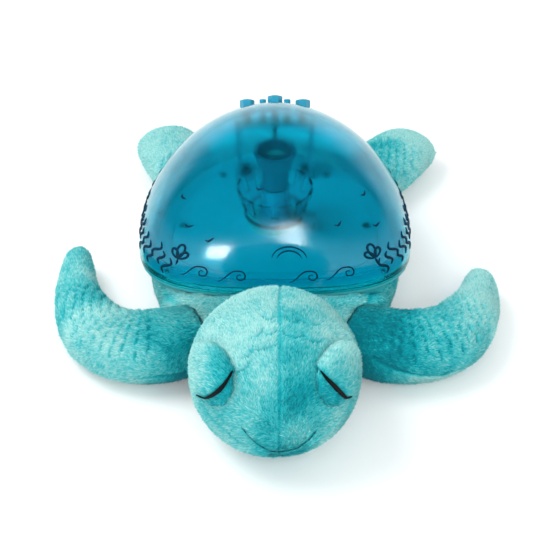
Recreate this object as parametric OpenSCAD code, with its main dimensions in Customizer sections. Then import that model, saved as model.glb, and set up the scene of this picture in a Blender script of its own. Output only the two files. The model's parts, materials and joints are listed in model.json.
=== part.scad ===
// Turtle night light projector: a translucent domed shell over a light tower with a
// gear-driven ripple bowl, a row of buttons and a battery base, set in a stuffed turtle.
// The turtle faces -Y and lies on z = 0.

/* [Shell] */
// Width of the shell across its widest line
shell_width = 193; // [180:1:206]
// Length of the shell ahead of its widest line
shell_front = 64; // [60:1:68]
// Length of the shell behind its widest line
shell_rear = 133; // [128:1:138]
// Height of the shell above its rim
shell_height = 80; // [77:1:84]
// Wall of the shell
shell_wall = 2.4; // [2:0.1:3]
// Height of the shell's rim above the floor
rim_z = 40; // [39:1:44]
// Width of the lip inside the shell's rim
lip_width = 10; // [9:0.5:12]
// Thickness of that lip
lip_thickness = 3; // [2.4:0.2:4]

/* [Base] */
// How far the tub of the base stays inside the rim
tub_inset = 22; // [20:0.5:24]
// Wall and floor of the tub
tub_wall = 2.4; // [2:0.1:3]
// Height of the tub's underside above the floor
tub_lift = 4; // [3:0.5:5]
// Thickness of the flange under the shell's rim
flange_thickness = 4; // [3.6:0.2:5]
// Thickness of the deck that closes the tub
deck_thickness = 2.4; // [2:0.2:3]

/* [Battery] */
// Diameter of a cell
cell_diameter = 14.4; // [14:0.1:14.6]
// Length of a cell over its button
cell_length = 50.4; // [50:0.1:50.8]
// Room at each end of the cells for the contacts
contact_room = 3.6; // [3:0.2:4.4]

/* [Speaker and motor] */
// Diameter of the speaker
speaker_diameter = 44; // [40:1:46]
// Height of the speaker
speaker_height = 15; // [13:1:18]
// Diameter of the motor
motor_diameter = 15.4; // [13:0.2:16]
// Length of the motor's can
motor_length = 17; // [15:0.5:18]

/* [Light tower] */
// Place of the tower behind the shell's widest line
tower_back = 20; // [18:1:22]
// Diameter of the column that carries the bowl and the barrel
column_diameter = 16; // [15:0.5:17]
// Diameter of the ripple bowl across its rim
bowl_diameter = 55; // [52:1:58]
// Height of the ripple bowl above its gear
bowl_height = 20; // [18:1:22]
// Wall of the ripple bowl
bowl_wall = 1.8; // [1.6:0.1:2.4]
// Diameter of the lens barrel at its notched rim
barrel_diameter = 31; // [29:1:33]
// Diameter of the lens barrel at its foot
barrel_foot = 23; // [21:0.5:25]
// Height of the lens barrel
barrel_height = 12; // [11.5:0.5:14]
// Length of the neck between the bowl's hub and the barrel
neck_length = 17; // [15:0.5:18]

/* [Gears] */
// Size of every tooth, its pitch diameter over its number of teeth
gear_module = 0.8; // [0.76:0.02:0.84]
// Teeth of the ring on the ripple bowl
ring_teeth = 54; // [52:1:56]
// Teeth of the idler's wheel
wheel_teeth = 36; // [34:1:38]
// Teeth of the idler's pinion and the motor's pinion
pinion_teeth = 12; // [12:1:13]

/* [Buttons] */
// Width of a large button across its flats
button_width = 9.6; // [8.6:0.2:10.4]
// Diameter of a small button
small_button_width = 5; // [4:0.2:5.6]
// Distance from the middle button to the outer ones
button_pitch = 21; // [20:0.5:22]
// Distance from the middle button to the small ones
small_button_pitch = 9.2; // [9:0.1:10]
// How far a large button stands out of the shell
button_rise = 6; // [5:0.1:7]
// How far a small button stands out of the shell
small_button_rise = 3.6; // [3:0.1:4.4]
// How far a button travels
button_travel = 0.8; // [0.5:0.1:1]
// Slope of the button row, away from level
button_tilt = 38; // [36:1:40]
// Place of the button row ahead of the shell's rear end
button_ahead = 28; // [26:1:30]

/* [Head] */
// Width of the head across the cheeks
head_width = 111; // [100:1:118]
// Length of the head from the nape to the nose
head_length = 126; // [118:1:136]
// Height of the head
head_height = 92; // [84:1:100]
// Length of an eyelid along its closed edge
eyelid_length = 44; // [38:1:48]

/* [Body and flippers] */
// How far the stuffed body stays inside the shell's rim
body_inset = 8; // [6:0.5:10]
// How far the chest stands ahead of the shell
chest_depth = 36; // [30:1:42]
// How far the neck stands ahead of the chest
neck_depth = 26; // [22:1:30]
// Broadest width of a front flipper
front_flipper_width = 60; // [52:1:66]
// Thickness of a front flipper where it swells most
front_flipper_thickness = 43; // [36:1:48]
// How far the front flippers reach out to each side of the middle
front_flipper_reach = 158; // [150:1:166]
// Broadest width of a rear flipper
rear_flipper_width = 56; // [48:1:62]
// Thickness of a rear flipper where it swells most
rear_flipper_thickness = 37; // [32:1:42]
// How far the rear flippers reach behind the shell
rear_flipper_reach = 51; // [44:1:58]

/* [Hidden] */

// Clearances: sewn pieces, sliding pieces, running shafts, thrust faces, screws in holes
seam_gap = 0.3;
slide_gap = 0.4;
running_gap = 0.06;
axial_gap = 0.3;
screw_gap = 0.3;
thread_gap = 0.05;
// How far a cutting solid runs past the face it cuts
past = 1;
// Overlap that joins the solids of one piece
join = 0.2;
// How deep the stuffed pieces are pressed flat on the floor
floor_press = 0.5;

// Place of the shell's widest line, behind the middle of the turtle
shell_y = 18;
// Squareness of the shell's plan ahead of and behind that line, and of its arch
front_square = 3;
rear_square = 1.9;
arch_square = 1.95;
half_width = shell_width / 2;
front_y = shell_y - shell_front;
rear_y = shell_y + shell_rear;
plan_steps = 48;
arch_steps = 11;

function lerp(a, b, t) = a + (b - a) * t;
function power_of(v, p) = sign(v) * pow(abs(v), p);
function degrees_of(arc) = arc * 180 / PI;

// A smooth curve through evenly spaced keys, each a list of numbers, and a small step along it
nudge = 0.002;
function spline(keys, t) =
    let (spans = len(keys) - 1,
         s = min(max(t, 0), 1) * spans,
         i = min(floor(s), spans - 1),
         f = s - i,
         p0 = keys[max(i - 1, 0)],
         p1 = keys[i],
         p2 = keys[i + 1],
         p3 = keys[min(i + 2, spans)])
    p1 + 0.5 * f * ((p2 - p0) + f * ((2 * p0 - 5 * p1 + 4 * p2 - p3)
        + f * (3 * (p1 - p2) + p3 - p0)));

// A closed solid from one pole through rings of points to the other pole
module pole_stack(first, rings, last) {
    sides = len(rings[0]);
    count = len(rings);
    points = concat([first], [for (ring = rings) each ring], [last]);
    top = len(points) - 1;
    walls = [for (r = [0 : count - 2], k = [0 : sides - 1])
        let (n = (k + 1) % sides, low = 1 + r * sides, high = low + sides)
        each [[low + k, high + k, high + n], [low + k, high + n, low + n]]];
    caps = [for (k = [0 : sides - 1])
        let (n = (k + 1) % sides, end = 1 + (count - 1) * sides)
        each [[0, 1 + k, 1 + n], [top, end + n, end + k]]];
    polyhedron(points, concat(walls, caps), convexity = 6);
}

// The shell's plan

// A point of the plan, at an angle from the widest line on the +X side
function plan_point(angle, inset) =
    let (rear = sin(angle) >= 0,
         square = rear ? rear_square : front_square,
         depth = (rear ? shell_rear : shell_front) - inset)
    [(half_width - inset) * power_of(cos(angle), 2 / square),
     shell_y + depth * power_of(sin(angle), 2 / square)];

module plan(inset) {
    polygon([for (k = [0 : plan_steps - 1]) plan_point(360 * k / plan_steps, inset)]);
}

module plan_slab(low, high, inset) {
    translate([0, 0, low]) linear_extrude(high - low) plan(inset);
}

// Height of the shell's outer face over a point of the floor
function dome_z(x, y) =
    let (rear = y >= shell_y,
         square = rear ? rear_square : front_square,
         depth = rear ? shell_rear : shell_front,
         reach = pow(pow(abs(x) / half_width, square)
                     + pow(abs(y - shell_y) / depth, square), 1 / square))
    rim_z + shell_height * pow(max(1 - pow(reach, arch_square), 0), 1 / arch_square);

// A level ring of the shell's outer or inner face, at a share of its reach
function dome_ring(reach, z, inset) =
    [for (k = [0 : plan_steps - 1])
        let (p = plan_point(-360 * k / plan_steps, inset))
        [p[0] * reach, shell_y + (p[1] - shell_y) * reach, z]];

function arch_ring(rise, inset) =
    dome_ring(pow(cos(rise), 2 / arch_square),
              rim_z + (shell_height - inset) * pow(sin(rise), 2 / arch_square), inset);

// Screws that hold the shell: six places on the rim
shell_screw_angles = [-40, -140, 14, 166, 62, 118];
shell_screw_inset = shell_wall + lip_width / 2;
screw_radius = 1.25;
screw_head_radius = 2.7;
screw_head_height = 1.6;
screw_socket_radius = 1.1;
screw_socket_depth = 0.8;

module at_shell_screws() {
    for (angle = shell_screw_angles) translate(plan_point(angle, shell_screw_inset)) children();
}

module screw(head_z, tip_z) {
    way = sign(tip_z - head_z);
    translate([0, 0, head_z]) mirror([0, 0, way < 0 ? 1 : 0]) {
        difference() {
            cylinder(r = screw_head_radius, h = screw_head_height, $fn = 24);
            translate([0, 0, -past])
                cylinder(r = screw_socket_radius, h = screw_socket_depth + past, $fn = 6);
        }
        translate([0, 0, screw_head_height - join])
            cylinder(r = screw_radius, h = abs(tip_z - head_z) - screw_head_height + join,
                     $fn = 24);
    }
}

// The button panel: a flat frame on the shell's rear slope, facing up and back

panel_y = rear_y - button_ahead;
panel_z = dome_z(0, panel_y);
module panel(x, depth) {
    translate([x, panel_y, panel_z]) rotate([-button_tilt, 0, 0])
        translate([0, 0, -depth]) children();
}

// How far the shell falls away below the panel at a place along the row
function panel_clear(x, depth) =
    panel_z - depth * cos(button_tilt) > dome_z(x, panel_y - depth * sin(button_tilt));
halvings = 24;
function panel_drop(x, low = 0, high = shell_height / 3, passes = halvings) =
    let (middle = (low + high) / 2)
    passes == 0 ? middle
        : panel_clear(x, middle) ? panel_drop(x, middle, high, passes - 1)
        : panel_drop(x, low, middle, passes - 1);

switch_board_thickness = 1.2;
switch_size = 6;
switch_height = 3.5;
plunger_height = 1;
plunger_radius = 1.7;
// A button's skirt below the shell, its two lugs that keep it in, its stem and its crown
skirt = 2.6;
lug_reach = 1.4;
lug_thickness = 1;
stem_length = 1;
stem_share = 0.44;
crown_share = 1.3;
press_gap = 0.1;
// Depth of the switch board under the panel, so that the outer buttons clear the switches
outer_drop = panel_drop(button_pitch);
stem_depth = outer_drop + shell_wall + skirt + stem_length;
plunger_depth = stem_depth + button_travel + press_gap;
board_depth = plunger_depth + plunger_height + switch_height;
button_places = [-button_pitch, -small_button_pitch, 0, small_button_pitch, button_pitch];

module hex_prism(width, height) {
    cylinder(d = width / cos(30), h = height, $fn = 6);
}

// A crowned cap on a stem, standing in the shell
module button(x, width, rise, hex) {
    drop = panel_drop(x);
    cap_depth = drop + shell_wall + skirt;
    crown = width * crown_share;
    panel(x, 0) {
        intersection() {
            translate([0, 0, -cap_depth]) {
                if (hex) hex_prism(width, cap_depth + rise);
                else cylinder(d = width, h = cap_depth + rise, $fn = 32);
            }
            translate([0, 0, rise - drop - crown]) sphere(r = crown, $fn = 48);
        }
        translate([-width / 4, -width / 2 - lug_reach, -cap_depth])
            cube([width / 2, width + 2 * lug_reach, lug_thickness]);
        translate([0, 0, -stem_depth])
            cylinder(d = width * stem_share, h = stem_depth - cap_depth + join, $fn = 24);
    }
}

module button_hole(x, width, hex) {
    panel(x, board_depth) {
        if (hex) hex_prism(width + 2 * slide_gap, 2 * board_depth);
        else cylinder(d = width + 2 * slide_gap, h = 2 * board_depth, $fn = 32);
    }
}

module shell_dome() {
    inner_height = shell_height - shell_wall;
    lip_reach = pow(1 - pow(lip_thickness / inner_height, arch_square), 1 / arch_square);
    lip_rise = asin(pow(lip_thickness / inner_height, arch_square / 2));
    outer = [for (i = [arch_steps - 1 : -1 : 0]) arch_ring(90 * i / arch_steps, 0)];
    inner = [for (i = [1 : arch_steps - 1])
        arch_ring(lerp(lip_rise, 90, i / arch_steps), shell_wall)];
    lip_inset = shell_wall + lip_width;
    rim = [dome_ring(1, rim_z, lip_inset),
           dome_ring(1, rim_z + lip_thickness, lip_inset),
           dome_ring(lip_reach, rim_z + lip_thickness, shell_wall)];
    color("#1487a8") difference() {
        pole_stack([0, shell_y, rim_z + shell_height], concat(outer, rim, inner),
                   [0, shell_y, rim_z + inner_height]);
        at_shell_screws() translate([0, 0, rim_z - past])
            cylinder(r = screw_radius + thread_gap, h = lip_thickness + 2 * past, $fn = 24);
        for (x = [-button_pitch, 0, button_pitch]) button_hole(x, button_width, true);
        for (x = [-small_button_pitch, small_button_pitch])
            button_hole(x, small_button_width, false);
    }
}

module large_button(x) { color("#1a9cc0") button(x, button_width, button_rise, true); }
module small_button(x) { color("#1a9cc0") button(x, small_button_width, small_button_rise, false); }
module large_button_left() { large_button(-button_pitch); }
module large_button_middle() { large_button(0); }
module large_button_right() { large_button(button_pitch); }
module small_button_left() { small_button(-small_button_pitch); }
module small_button_right() { small_button(small_button_pitch); }

// Levels of the base

floor_top = tub_lift + tub_wall;
deck_low = rim_z - deck_thickness;
flange_low = rim_z - flange_thickness;
flange_inset = 0.6;
deck_ledge = 1.4;
deck_inset = tub_inset + tub_wall - deck_ledge;

// Light tower and gear train: places, radii and heights

tower = [0, shell_y + tower_back];
ring_radius = gear_module * ring_teeth / 2;
wheel_radius = gear_module * wheel_teeth / 2;
pinion_radius = gear_module * pinion_teeth / 2;
tooth_addendum = 0.8 * gear_module;
tooth_dedendum = 1.05 * gear_module;
pressure_angle = 25;
flank_gap = 0.06;
idler_angle = -20;
motor_angle = -70;
idler = tower + (ring_radius + pinion_radius) * [cos(idler_angle), sin(idler_angle)];
motor_axis = idler + (wheel_radius + pinion_radius) * [cos(motor_angle), sin(motor_angle)];
shaft_radius = 2;
motor_shaft_radius = 1;
gear_thickness = 3.4;
wheel_thickness = 3;
wheel_drop = 1.5;
wheel_low = deck_low - wheel_drop - wheel_thickness;
pinion_overhang = 0.8;
pinion_clear = 0.9;
motor_top = wheel_low - pinion_overhang - pinion_clear;
// The idler's post ends under its wheel, and its shaft stands this deep in the post
idler_post_high = wheel_low - axial_gap;
idler_shaft_depth = 12;
column_radius = column_diameter / 2;
column_base_height = 6;
column_base_flare = 4.5;
column_base_radius = column_radius + column_base_flare;
hub_wall = 2.4;
hub_low = rim_z + column_base_height + axial_gap;
ring_lift = 0.9;
ring_low = hub_low + ring_lift;
ring_high = ring_low + gear_thickness;
bowl_top = ring_high + bowl_height;
hub_rise = 1;
hub_high = bowl_top + hub_rise;
barrel_low = hub_high + neck_length;
barrel_high = barrel_low + barrel_height;

// Half the angle that a tooth fills at a radius
function involute(angle) = degrees_of(tan(angle)) - angle;
function tooth_half(pitch, teeth, r) =
    let (base = pitch * cos(pressure_angle))
    90 / teeth - degrees_of(flank_gap / pitch) + involute(pressure_angle)
        - involute(acos(min(base / max(r, base), 1)));

// A spur gear with a tooth on the +X axis before it is turned
module gear(teeth, thickness, turn) {
    pitch = gear_module * teeth / 2;
    radii = [pitch - tooth_dedendum, pitch, pitch + tooth_addendum];
    halves = [for (r = radii) tooth_half(pitch, teeth, r)];
    linear_extrude(thickness) polygon([for (k = [0 : teeth - 1], i = [0 : 5])
        let (j = i < 3 ? i : 5 - i,
             a = turn + 360 * k / teeth + (i < 3 ? -halves[j] : halves[j]))
        radii[j] * [cos(a), sin(a)]]);
}

// Turn of a gear whose gap, rather than a tooth, faces its neighbour
function gap_turn(teeth, facing) = facing + 180 / teeth;

module idler_gear() {
    color("#e8ecef") translate(idler) {
        translate([0, 0, wheel_low - idler_shaft_depth])
            cylinder(r = shaft_radius, h = idler_shaft_depth + ring_high - wheel_low, $fn = 32);
        translate([0, 0, wheel_low]) gear(wheel_teeth, wheel_thickness, motor_angle);
        translate([0, 0, rim_z + axial_gap])
            cylinder(r = pinion_radius - tooth_dedendum, h = ring_low - rim_z - axial_gap, $fn = 32);
        translate([0, 0, ring_low - pinion_overhang])
            gear(pinion_teeth, gear_thickness + 2 * pinion_overhang,
                 gap_turn(pinion_teeth, idler_angle + 180));
    }
}

motor_shaft_depth = 5;
motor_boss_radius = 3;
motor_boss_height = 1.6;
motor_vent = [1.2, 4, 5];

module motor_pinion() {
    color("#d9dde0") translate(motor_axis) {
        translate([0, 0, wheel_low - pinion_overhang])
            gear(pinion_teeth, wheel_thickness + 2 * pinion_overhang,
                 gap_turn(pinion_teeth, motor_angle + 180));
        translate([0, 0, motor_top - motor_shaft_depth])
            cylinder(r = motor_shaft_radius, h = wheel_low - motor_top + motor_shaft_depth,
                     $fn = 32);
    }
}

module motor() {
    can_radius = motor_diameter / 2;
    color("#a9adb0") translate(motor_axis) translate([0, 0, motor_top - motor_length])
    difference() {
        union() {
            cylinder(r = can_radius, h = motor_length - motor_boss_height, $fn = 48);
            cylinder(r = motor_boss_radius, h = motor_length, $fn = 32);
        }
        translate([0, 0, motor_length - motor_shaft_depth - axial_gap])
            cylinder(r = motor_shaft_radius + running_gap, h = motor_length, $fn = 32);
        for (side = [-1, 1]) translate([side * can_radius, 0, motor_vent[2]])
            cube(motor_vent, center = true);
    }
}

// Ripple bowl: a fluted translucent bowl with a gear under it, turning on the column

bowl_foot_set_in = 1.2;
bowl_foot_radius = ring_radius - tooth_dedendum - bowl_foot_set_in;
bowl_rim_radius = bowl_diameter / 2;
flutes = 12;
flute_radius = 3;
flute_depth = 0.9;
flute_share = 0.8;
function bowl_radius_at(t) = lerp(bowl_foot_radius, bowl_rim_radius, sin(90 * t));

module ripple_bowl() {
    steps = 6;
    outer = [for (i = [0 : steps])
        [bowl_radius_at(i / steps), lerp(ring_high - join, bowl_top, i / steps)]];
    inner = [for (i = [steps : -1 : 0])
        [bowl_radius_at(i / steps) - bowl_wall, lerp(ring_high - join, bowl_top, i / steps)]];
    lean = atan2(bowl_rim_radius - bowl_foot_radius, bowl_height);
    color("#8fd6ea") translate(tower) difference() {
        union() {
            translate([0, 0, ring_low]) gear(ring_teeth, gear_thickness, idler_angle);
            rotate_extrude($fn = 72) polygon(concat(outer, inner));
            translate([0, 0, hub_low])
                cylinder(r = column_radius + hub_wall, h = hub_high - hub_low, $fn = 48);
        }
        translate([0, 0, hub_low - past])
            cylinder(r = column_radius + running_gap, h = hub_high - hub_low + 2 * past, $fn = 48);
        for (k = [0 : flutes - 1]) rotate([0, 0, 360 * k / flutes])
            translate([bowl_rim_radius + flute_radius - flute_depth, 0, bowl_top + 2 * past])
                rotate([0, 180 + lean, 0])
                cylinder(r = flute_radius, h = bowl_height * flute_share, $fn = 24);
    }
}

// Column: a flanged tube that carries the bowl on its lower part and the barrel on top

column_step = hub_high + axial_gap;
column_shoulder = 1;
column_wall = 2.4;
column_top_radius = column_radius - column_shoulder;
column_bore = column_radius - column_wall;
barrel_floor = 2;
column_proud = 0.5;
column_top = barrel_low + barrel_floor + column_proud;

module light_column() {
    color("#3b4a55") translate(tower) difference() {
        translate([0, 0, rim_z]) {
            cylinder(r = column_base_radius, h = column_base_height, $fn = 48);
            cylinder(r = column_radius, h = column_step - rim_z, $fn = 48);
            cylinder(r = column_top_radius, h = column_top - rim_z, $fn = 48);
        }
        translate([0, 0, rim_z - past])
            cylinder(r = column_bore, h = column_top - rim_z + 2 * past, $fn = 48);
    }
}

led_count = 6;
led_radius = 1.6;
led_stand = 0.5;
led_turn = 30;
led_board_thickness = 1.2;
led_board_inner = column_base_radius + slide_gap;
led_board_margin = 1;
led_board_outer = ring_radius - tooth_dedendum - led_board_margin;

// A light emitter: a short post with a half ball on it
module led(radius, stand) {
    translate([0, 0, -join]) cylinder(r = radius, h = stand + join, $fn = 32);
    translate([0, 0, stand]) intersection() {
        sphere(r = radius, $fn = 32);
        translate([0, 0, radius - join]) cube(2 * radius, center = true);
    }
}

module led_board() {
    seat = (led_board_inner + led_board_outer) / 2;
    color("#e9f3ef") translate([tower[0], tower[1], rim_z]) {
        difference() {
            cylinder(r = led_board_outer, h = led_board_thickness, $fn = 48);
            translate([0, 0, -past])
                cylinder(r = led_board_inner, h = led_board_thickness + 2 * past, $fn = 48);
        }
        for (k = [0 : led_count - 1]) rotate([0, 0, 360 * k / led_count + led_turn])
            translate([seat, 0, led_board_thickness]) led(led_radius, led_stand);
    }
}

// Lens barrel: a flared cup with a notched rim, on a neck that sits on the column's step

barrel_radius = barrel_diameter / 2;
barrel_wall = 1.8;
function barrel_radius_at(z) =
    lerp(barrel_foot / 2, barrel_radius, (z - barrel_low) / barrel_height);
lens_set_in = 4;
lens_seat = barrel_high - lens_set_in;
lens_gap = 0.2;
lens_ledge = 1.4;
lens_radius = barrel_radius_at(lens_seat) - barrel_wall - lens_gap;
cup_floor = barrel_low + barrel_floor;
cup_foot_radius = barrel_radius_at(cup_floor) - barrel_wall;
barrel_notches = 14;
notch_radius = 1.5;
notch_depth = 0.9;
notch_height = 4.5;
neck_wall = 1.6;

module lens_barrel() {
    neck_bore = column_top_radius + running_gap;
    color("#20323d") translate(tower) difference() {
        union() {
            translate([0, 0, column_step])
                cylinder(r = column_radius + neck_wall, h = barrel_low - column_step + join,
                         $fn = 48);
            translate([0, 0, barrel_low])
                cylinder(r1 = barrel_foot / 2, r2 = barrel_radius, h = barrel_height, $fn = 64);
        }
        translate([0, 0, column_step - past])
            cylinder(r = neck_bore, h = barrel_height + neck_length, $fn = 48);
        translate([0, 0, cup_floor])
            cylinder(r1 = cup_foot_radius, r2 = lens_radius - lens_ledge,
                     h = lens_seat - cup_floor + join, $fn = 64);
        translate([0, 0, lens_seat])
            cylinder(r = lens_radius + lens_gap, h = barrel_height, $fn = 64);
        for (k = [0 : barrel_notches - 1]) rotate([0, 0, 360 * k / barrel_notches])
            translate([barrel_radius + notch_radius - notch_depth, 0, barrel_high - notch_height])
            cylinder(r = notch_radius, h = notch_height + past, $fn = 20);
    }
}

spot_board_thickness = 1.6;
spot_radius = 1.8;
spot_stand = 0.8;
module spot_led() {
    color("#f3f1df") translate([tower[0], tower[1], column_top]) {
        cylinder(r = cup_foot_radius - slide_gap, h = spot_board_thickness, $fn = 48);
        translate([0, 0, spot_board_thickness]) led(spot_radius, spot_stand);
    }
}

module projector_lens() {
    edge = 1.4;
    sag = 3;
    ball = (lens_radius * lens_radius + sag * sag) / (2 * sag);
    color("#cfeef5") translate(tower) translate([0, 0, lens_seat]) intersection() {
        cylinder(r = lens_radius, h = edge + sag, $fn = 64);
        translate([0, 0, edge + sag - ball]) sphere(r = ball, $fn = 96);
    }
}

// Battery bay: three cells side by side over a door in the tub's floor

bay_wall = 2;
bay_behind_tower = 12;
bay_y = tower[1] + bay_behind_tower;
bay_length = cell_length + 2 * contact_room;
cell_play = 0.8;
cell_pitch = cell_diameter + cell_play;
bay_width = 3 * cell_pitch + cell_play / 2;
bay_ceiling = floor_top + cell_diameter + cell_play;
bay_top = bay_ceiling + bay_wall;
bay_middle = bay_y + bay_width / 2;
door_ledge = 1.2;
door_thickness = tub_wall - seam_gap;
door_front = bay_y - door_ledge + slide_gap;
door_rear = bay_y + bay_width + door_ledge - slide_gap;
door_half = bay_length / 2 + door_ledge - slide_gap;
// The door tilts about its round front edge
door_nose = door_thickness / 2;
tab_half = 6;
boss_radius = 4;
boss_y = bay_y + bay_width + bay_wall + boss_radius - join;
door_screw_grip = 3;
door_screw_play = 0.45;
door_screw_proud = 0.6;
tongue_x = 16;
tongue_half = 4;
tongue_reach = 3;
tongue_root = 2.5;
tongue_thickness = 1.4;
tongue_window = 5;
door_ribs = 5;
door_rib_pitch = 2.4;
door_rib_set_in = 6;
door_rib = [18, 1.1, 0.6];

module door_outline(front, gap) {
    translate([-door_half - gap, front - gap])
        square([2 * (door_half + gap), door_rear - front + 2 * gap]);
    translate([-tab_half - gap, door_rear - join])
        square([2 * (tab_half + gap), boss_y - door_rear + join]);
    translate([0, boss_y]) circle(r = tab_half + gap, $fn = 48);
}

module battery_door() {
    color("#0f7a99") difference() {
        union() {
            translate([0, 0, tub_lift]) linear_extrude(door_thickness)
                door_outline(door_front + door_nose, 0);
            translate([-door_half, door_front + door_nose, tub_lift + door_nose]) rotate([0, 90, 0])
                cylinder(r = door_nose, h = 2 * door_half, $fn = 32);
            for (side = [-1, 1]) translate([side * tongue_x - tongue_half, door_front, 0]) {
                translate([0, 0, tub_lift + door_thickness - join])
                    cube([2 * tongue_half, tongue_root, 2 * seam_gap + tongue_thickness + join]);
                translate([0, -tongue_reach, floor_top + seam_gap])
                    cube([2 * tongue_half, tongue_reach + tongue_root, tongue_thickness]);
            }
        }
        translate([0, boss_y, tub_lift - past]) {
            cylinder(r = screw_radius + screw_gap, h = tub_wall + 2 * past, $fn = 24);
            cylinder(r = screw_head_radius + screw_gap,
                     h = past + screw_head_height - door_screw_proud, $fn = 32);
        }
        for (i = [0 : door_ribs - 1])
            translate([-door_rib[0] / 2, door_front + door_rib_set_in + door_rib_pitch * i,
                       tub_lift - past])
            cube(door_rib + [0, 0, past]);
    }
}

module door_screw() {
    color("#b9bec2") translate([0, boss_y, 0])
        screw(tub_lift - door_screw_proud, floor_top + door_screw_grip);
}

cell_button_height = 1.2;
cell_button_width = 5.4;
function cell_place(index) =
    [0, bay_y + cell_play / 4 + cell_pitch * (index + 0.5), floor_top + cell_diameter / 2];

// The cells lie head to tail
module battery_cell(index) {
    way = index == 1 ? -1 : 1;
    color("#5b6a72") translate(cell_place(index))
    rotate([0, 90 * way, 0]) translate([0, 0, -cell_length / 2]) {
        cylinder(d = cell_diameter, h = cell_length - cell_button_height, $fn = 48);
        cylinder(d = cell_button_width, h = cell_length, $fn = 32);
    }
}
module battery_cell_1() { battery_cell(0); }
module battery_cell_2() { battery_cell(1); }
module battery_cell_3() { battery_cell(2); }

contact_thickness = 0.5;
contact_height = 11;
contact_width = 13.2;
contact_radius = 3.4;
contact_tip_radius = 2;
module battery_contacts() {
    color("#c9c6b8") for (side = [-1, 1], index = [0 : 2])
        translate(cell_place(index)) rotate([0, side * 90, 0]) {
            translate([0, 0, bay_length / 2 - contact_thickness / 2])
                cube([contact_height, contact_width, contact_thickness], center = true);
            translate([0, 0, cell_length / 2])
                cylinder(r1 = contact_tip_radius, r2 = contact_radius,
                         h = contact_room - contact_thickness + join, $fn = 24);
        }
}

// Boards, speaker and the base that holds them

post_angles = [8, 52, 128, 172];
post_radius = 3.6;
post_margin = 1.5;
post_inset = tub_inset + tub_wall + post_radius + post_margin;
module at_posts() {
    for (angle = post_angles) translate(plan_point(angle, post_inset)) children();
}

board_size = [50, 38];
board_thickness = 1.6;
board_post = 3;
board_low = bay_top + board_post;
board_high = board_low + board_thickness;
board_hole_inset = 4;
board_post_radius = 2.6;
board_screw_radius = 1;
board_screw_head_radius = 2;
board_screw_head_height = 1.2;
module at_board_holes() {
    for (side = [-1, 1], end = [-1, 1])
        translate([side * (board_size[0] / 2 - board_hole_inset),
                   bay_middle + end * (board_size[1] / 2 - board_hole_inset)]) children();
}

speaker_radius = speaker_diameter / 2;
speaker_aside = 14;
speaker_ahead = 2;
speaker_place = [-speaker_radius - speaker_aside, shell_y - speaker_ahead];
speaker_collar = 4;
motor_seat = motor_top - motor_length;
motor_cradle = 5;
holder_wall = 2;
grille_radius = 1.5;
grille_pitch = 5.6;
deck_screw_depth = 8;

module grille() {
    translate(speaker_place) for (ring = [0 : 2], k = [0 : max(6 * ring - 1, 0)])
        rotate([0, 0, ring == 0 ? 0 : 60 * k / ring])
            translate([grille_pitch * ring, 0, tub_lift - past])
            cylinder(r = grille_radius, h = tub_wall + 2 * past, $fn = 20);
}

// A round wall on the tub's floor that holds a piece of the given radius
module holder(place, radius, high) {
    translate([place[0], place[1], floor_top - join]) difference() {
        cylinder(r = radius + slide_gap + holder_wall, h = high - floor_top + join, $fn = 64);
        translate([0, 0, join])
            cylinder(r = radius + slide_gap, h = high - floor_top + past, $fn = 64);
    }
}

module base_tray() {
    color("#116a86") difference() {
        union() {
            difference() {
                union() {
                    plan_slab(flange_low, rim_z, flange_inset);
                    plan_slab(floor_top - join, rim_z - join, tub_inset);
                    plan_slab(tub_lift, floor_top, tub_inset + tub_wall * 0.7);
                }
                plan_slab(floor_top, rim_z + past, tub_inset + tub_wall);
                plan_slab(deck_low, rim_z + past, deck_inset - slide_gap);
            }
            at_posts() translate([0, 0, floor_top - join])
                cylinder(r = post_radius, h = deck_low - floor_top + join, $fn = 32);
            translate([-bay_length / 2 - bay_wall, bay_y - bay_wall, floor_top - join])
                cube([bay_length + 2 * bay_wall, bay_width + 2 * bay_wall,
                      bay_top - floor_top + join]);
            translate([0, boss_y, floor_top - join])
                cylinder(r = boss_radius, h = 2 * door_screw_grip + join, $fn = 32);
            at_board_holes() translate([0, 0, bay_top - join])
                cylinder(r = board_post_radius, h = board_post + join, $fn = 24);
            holder(motor_axis, motor_diameter / 2, motor_seat + motor_cradle);
            translate([motor_axis[0], motor_axis[1], floor_top - join])
                cylinder(r = motor_diameter / 2 + holder_wall, h = motor_seat - floor_top + join,
                         $fn = 48);
            holder(speaker_place, speaker_radius, floor_top + speaker_collar);
            translate([idler[0], idler[1], floor_top - join])
                cylinder(r = shaft_radius + holder_wall, h = idler_post_high - floor_top + join,
                         $fn = 32);
        }
        translate([-bay_length / 2, bay_y, tub_lift - past])
            cube([bay_length, bay_width, bay_ceiling - tub_lift + past]);
        translate([0, 0, tub_lift - past]) linear_extrude(tub_wall + past)
            door_outline(door_front, slide_gap);
        for (side = [-1, 1])
            translate([side * tongue_x - tongue_half - slide_gap, bay_y - bay_wall - past, floor_top])
            cube([2 * (tongue_half + slide_gap), bay_wall + 2 * past, tongue_window]);
        translate([0, boss_y, floor_top - past])
            cylinder(r = screw_radius + door_screw_play, h = door_screw_grip + 2 * past, $fn = 24);
        at_board_holes() translate([0, 0, bay_top])
            cylinder(r = board_screw_radius + thread_gap, h = board_post + past, $fn = 24);
        translate([idler[0], idler[1], wheel_low - idler_shaft_depth - axial_gap])
            cylinder(r = shaft_radius + running_gap, h = idler_shaft_depth + past, $fn = 32);
        at_posts() translate([0, 0, deck_low - deck_screw_depth - axial_gap])
            cylinder(r = screw_radius + thread_gap, h = deck_screw_depth + past, $fn = 24);
        at_shell_screws() translate([0, 0, flange_low - past]) {
            cylinder(r = screw_radius + screw_gap, h = flange_thickness + 2 * past, $fn = 24);
            cylinder(r = screw_head_radius + screw_gap, h = past + screw_head_height, $fn = 32);
        }
        grille();
    }
}

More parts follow.
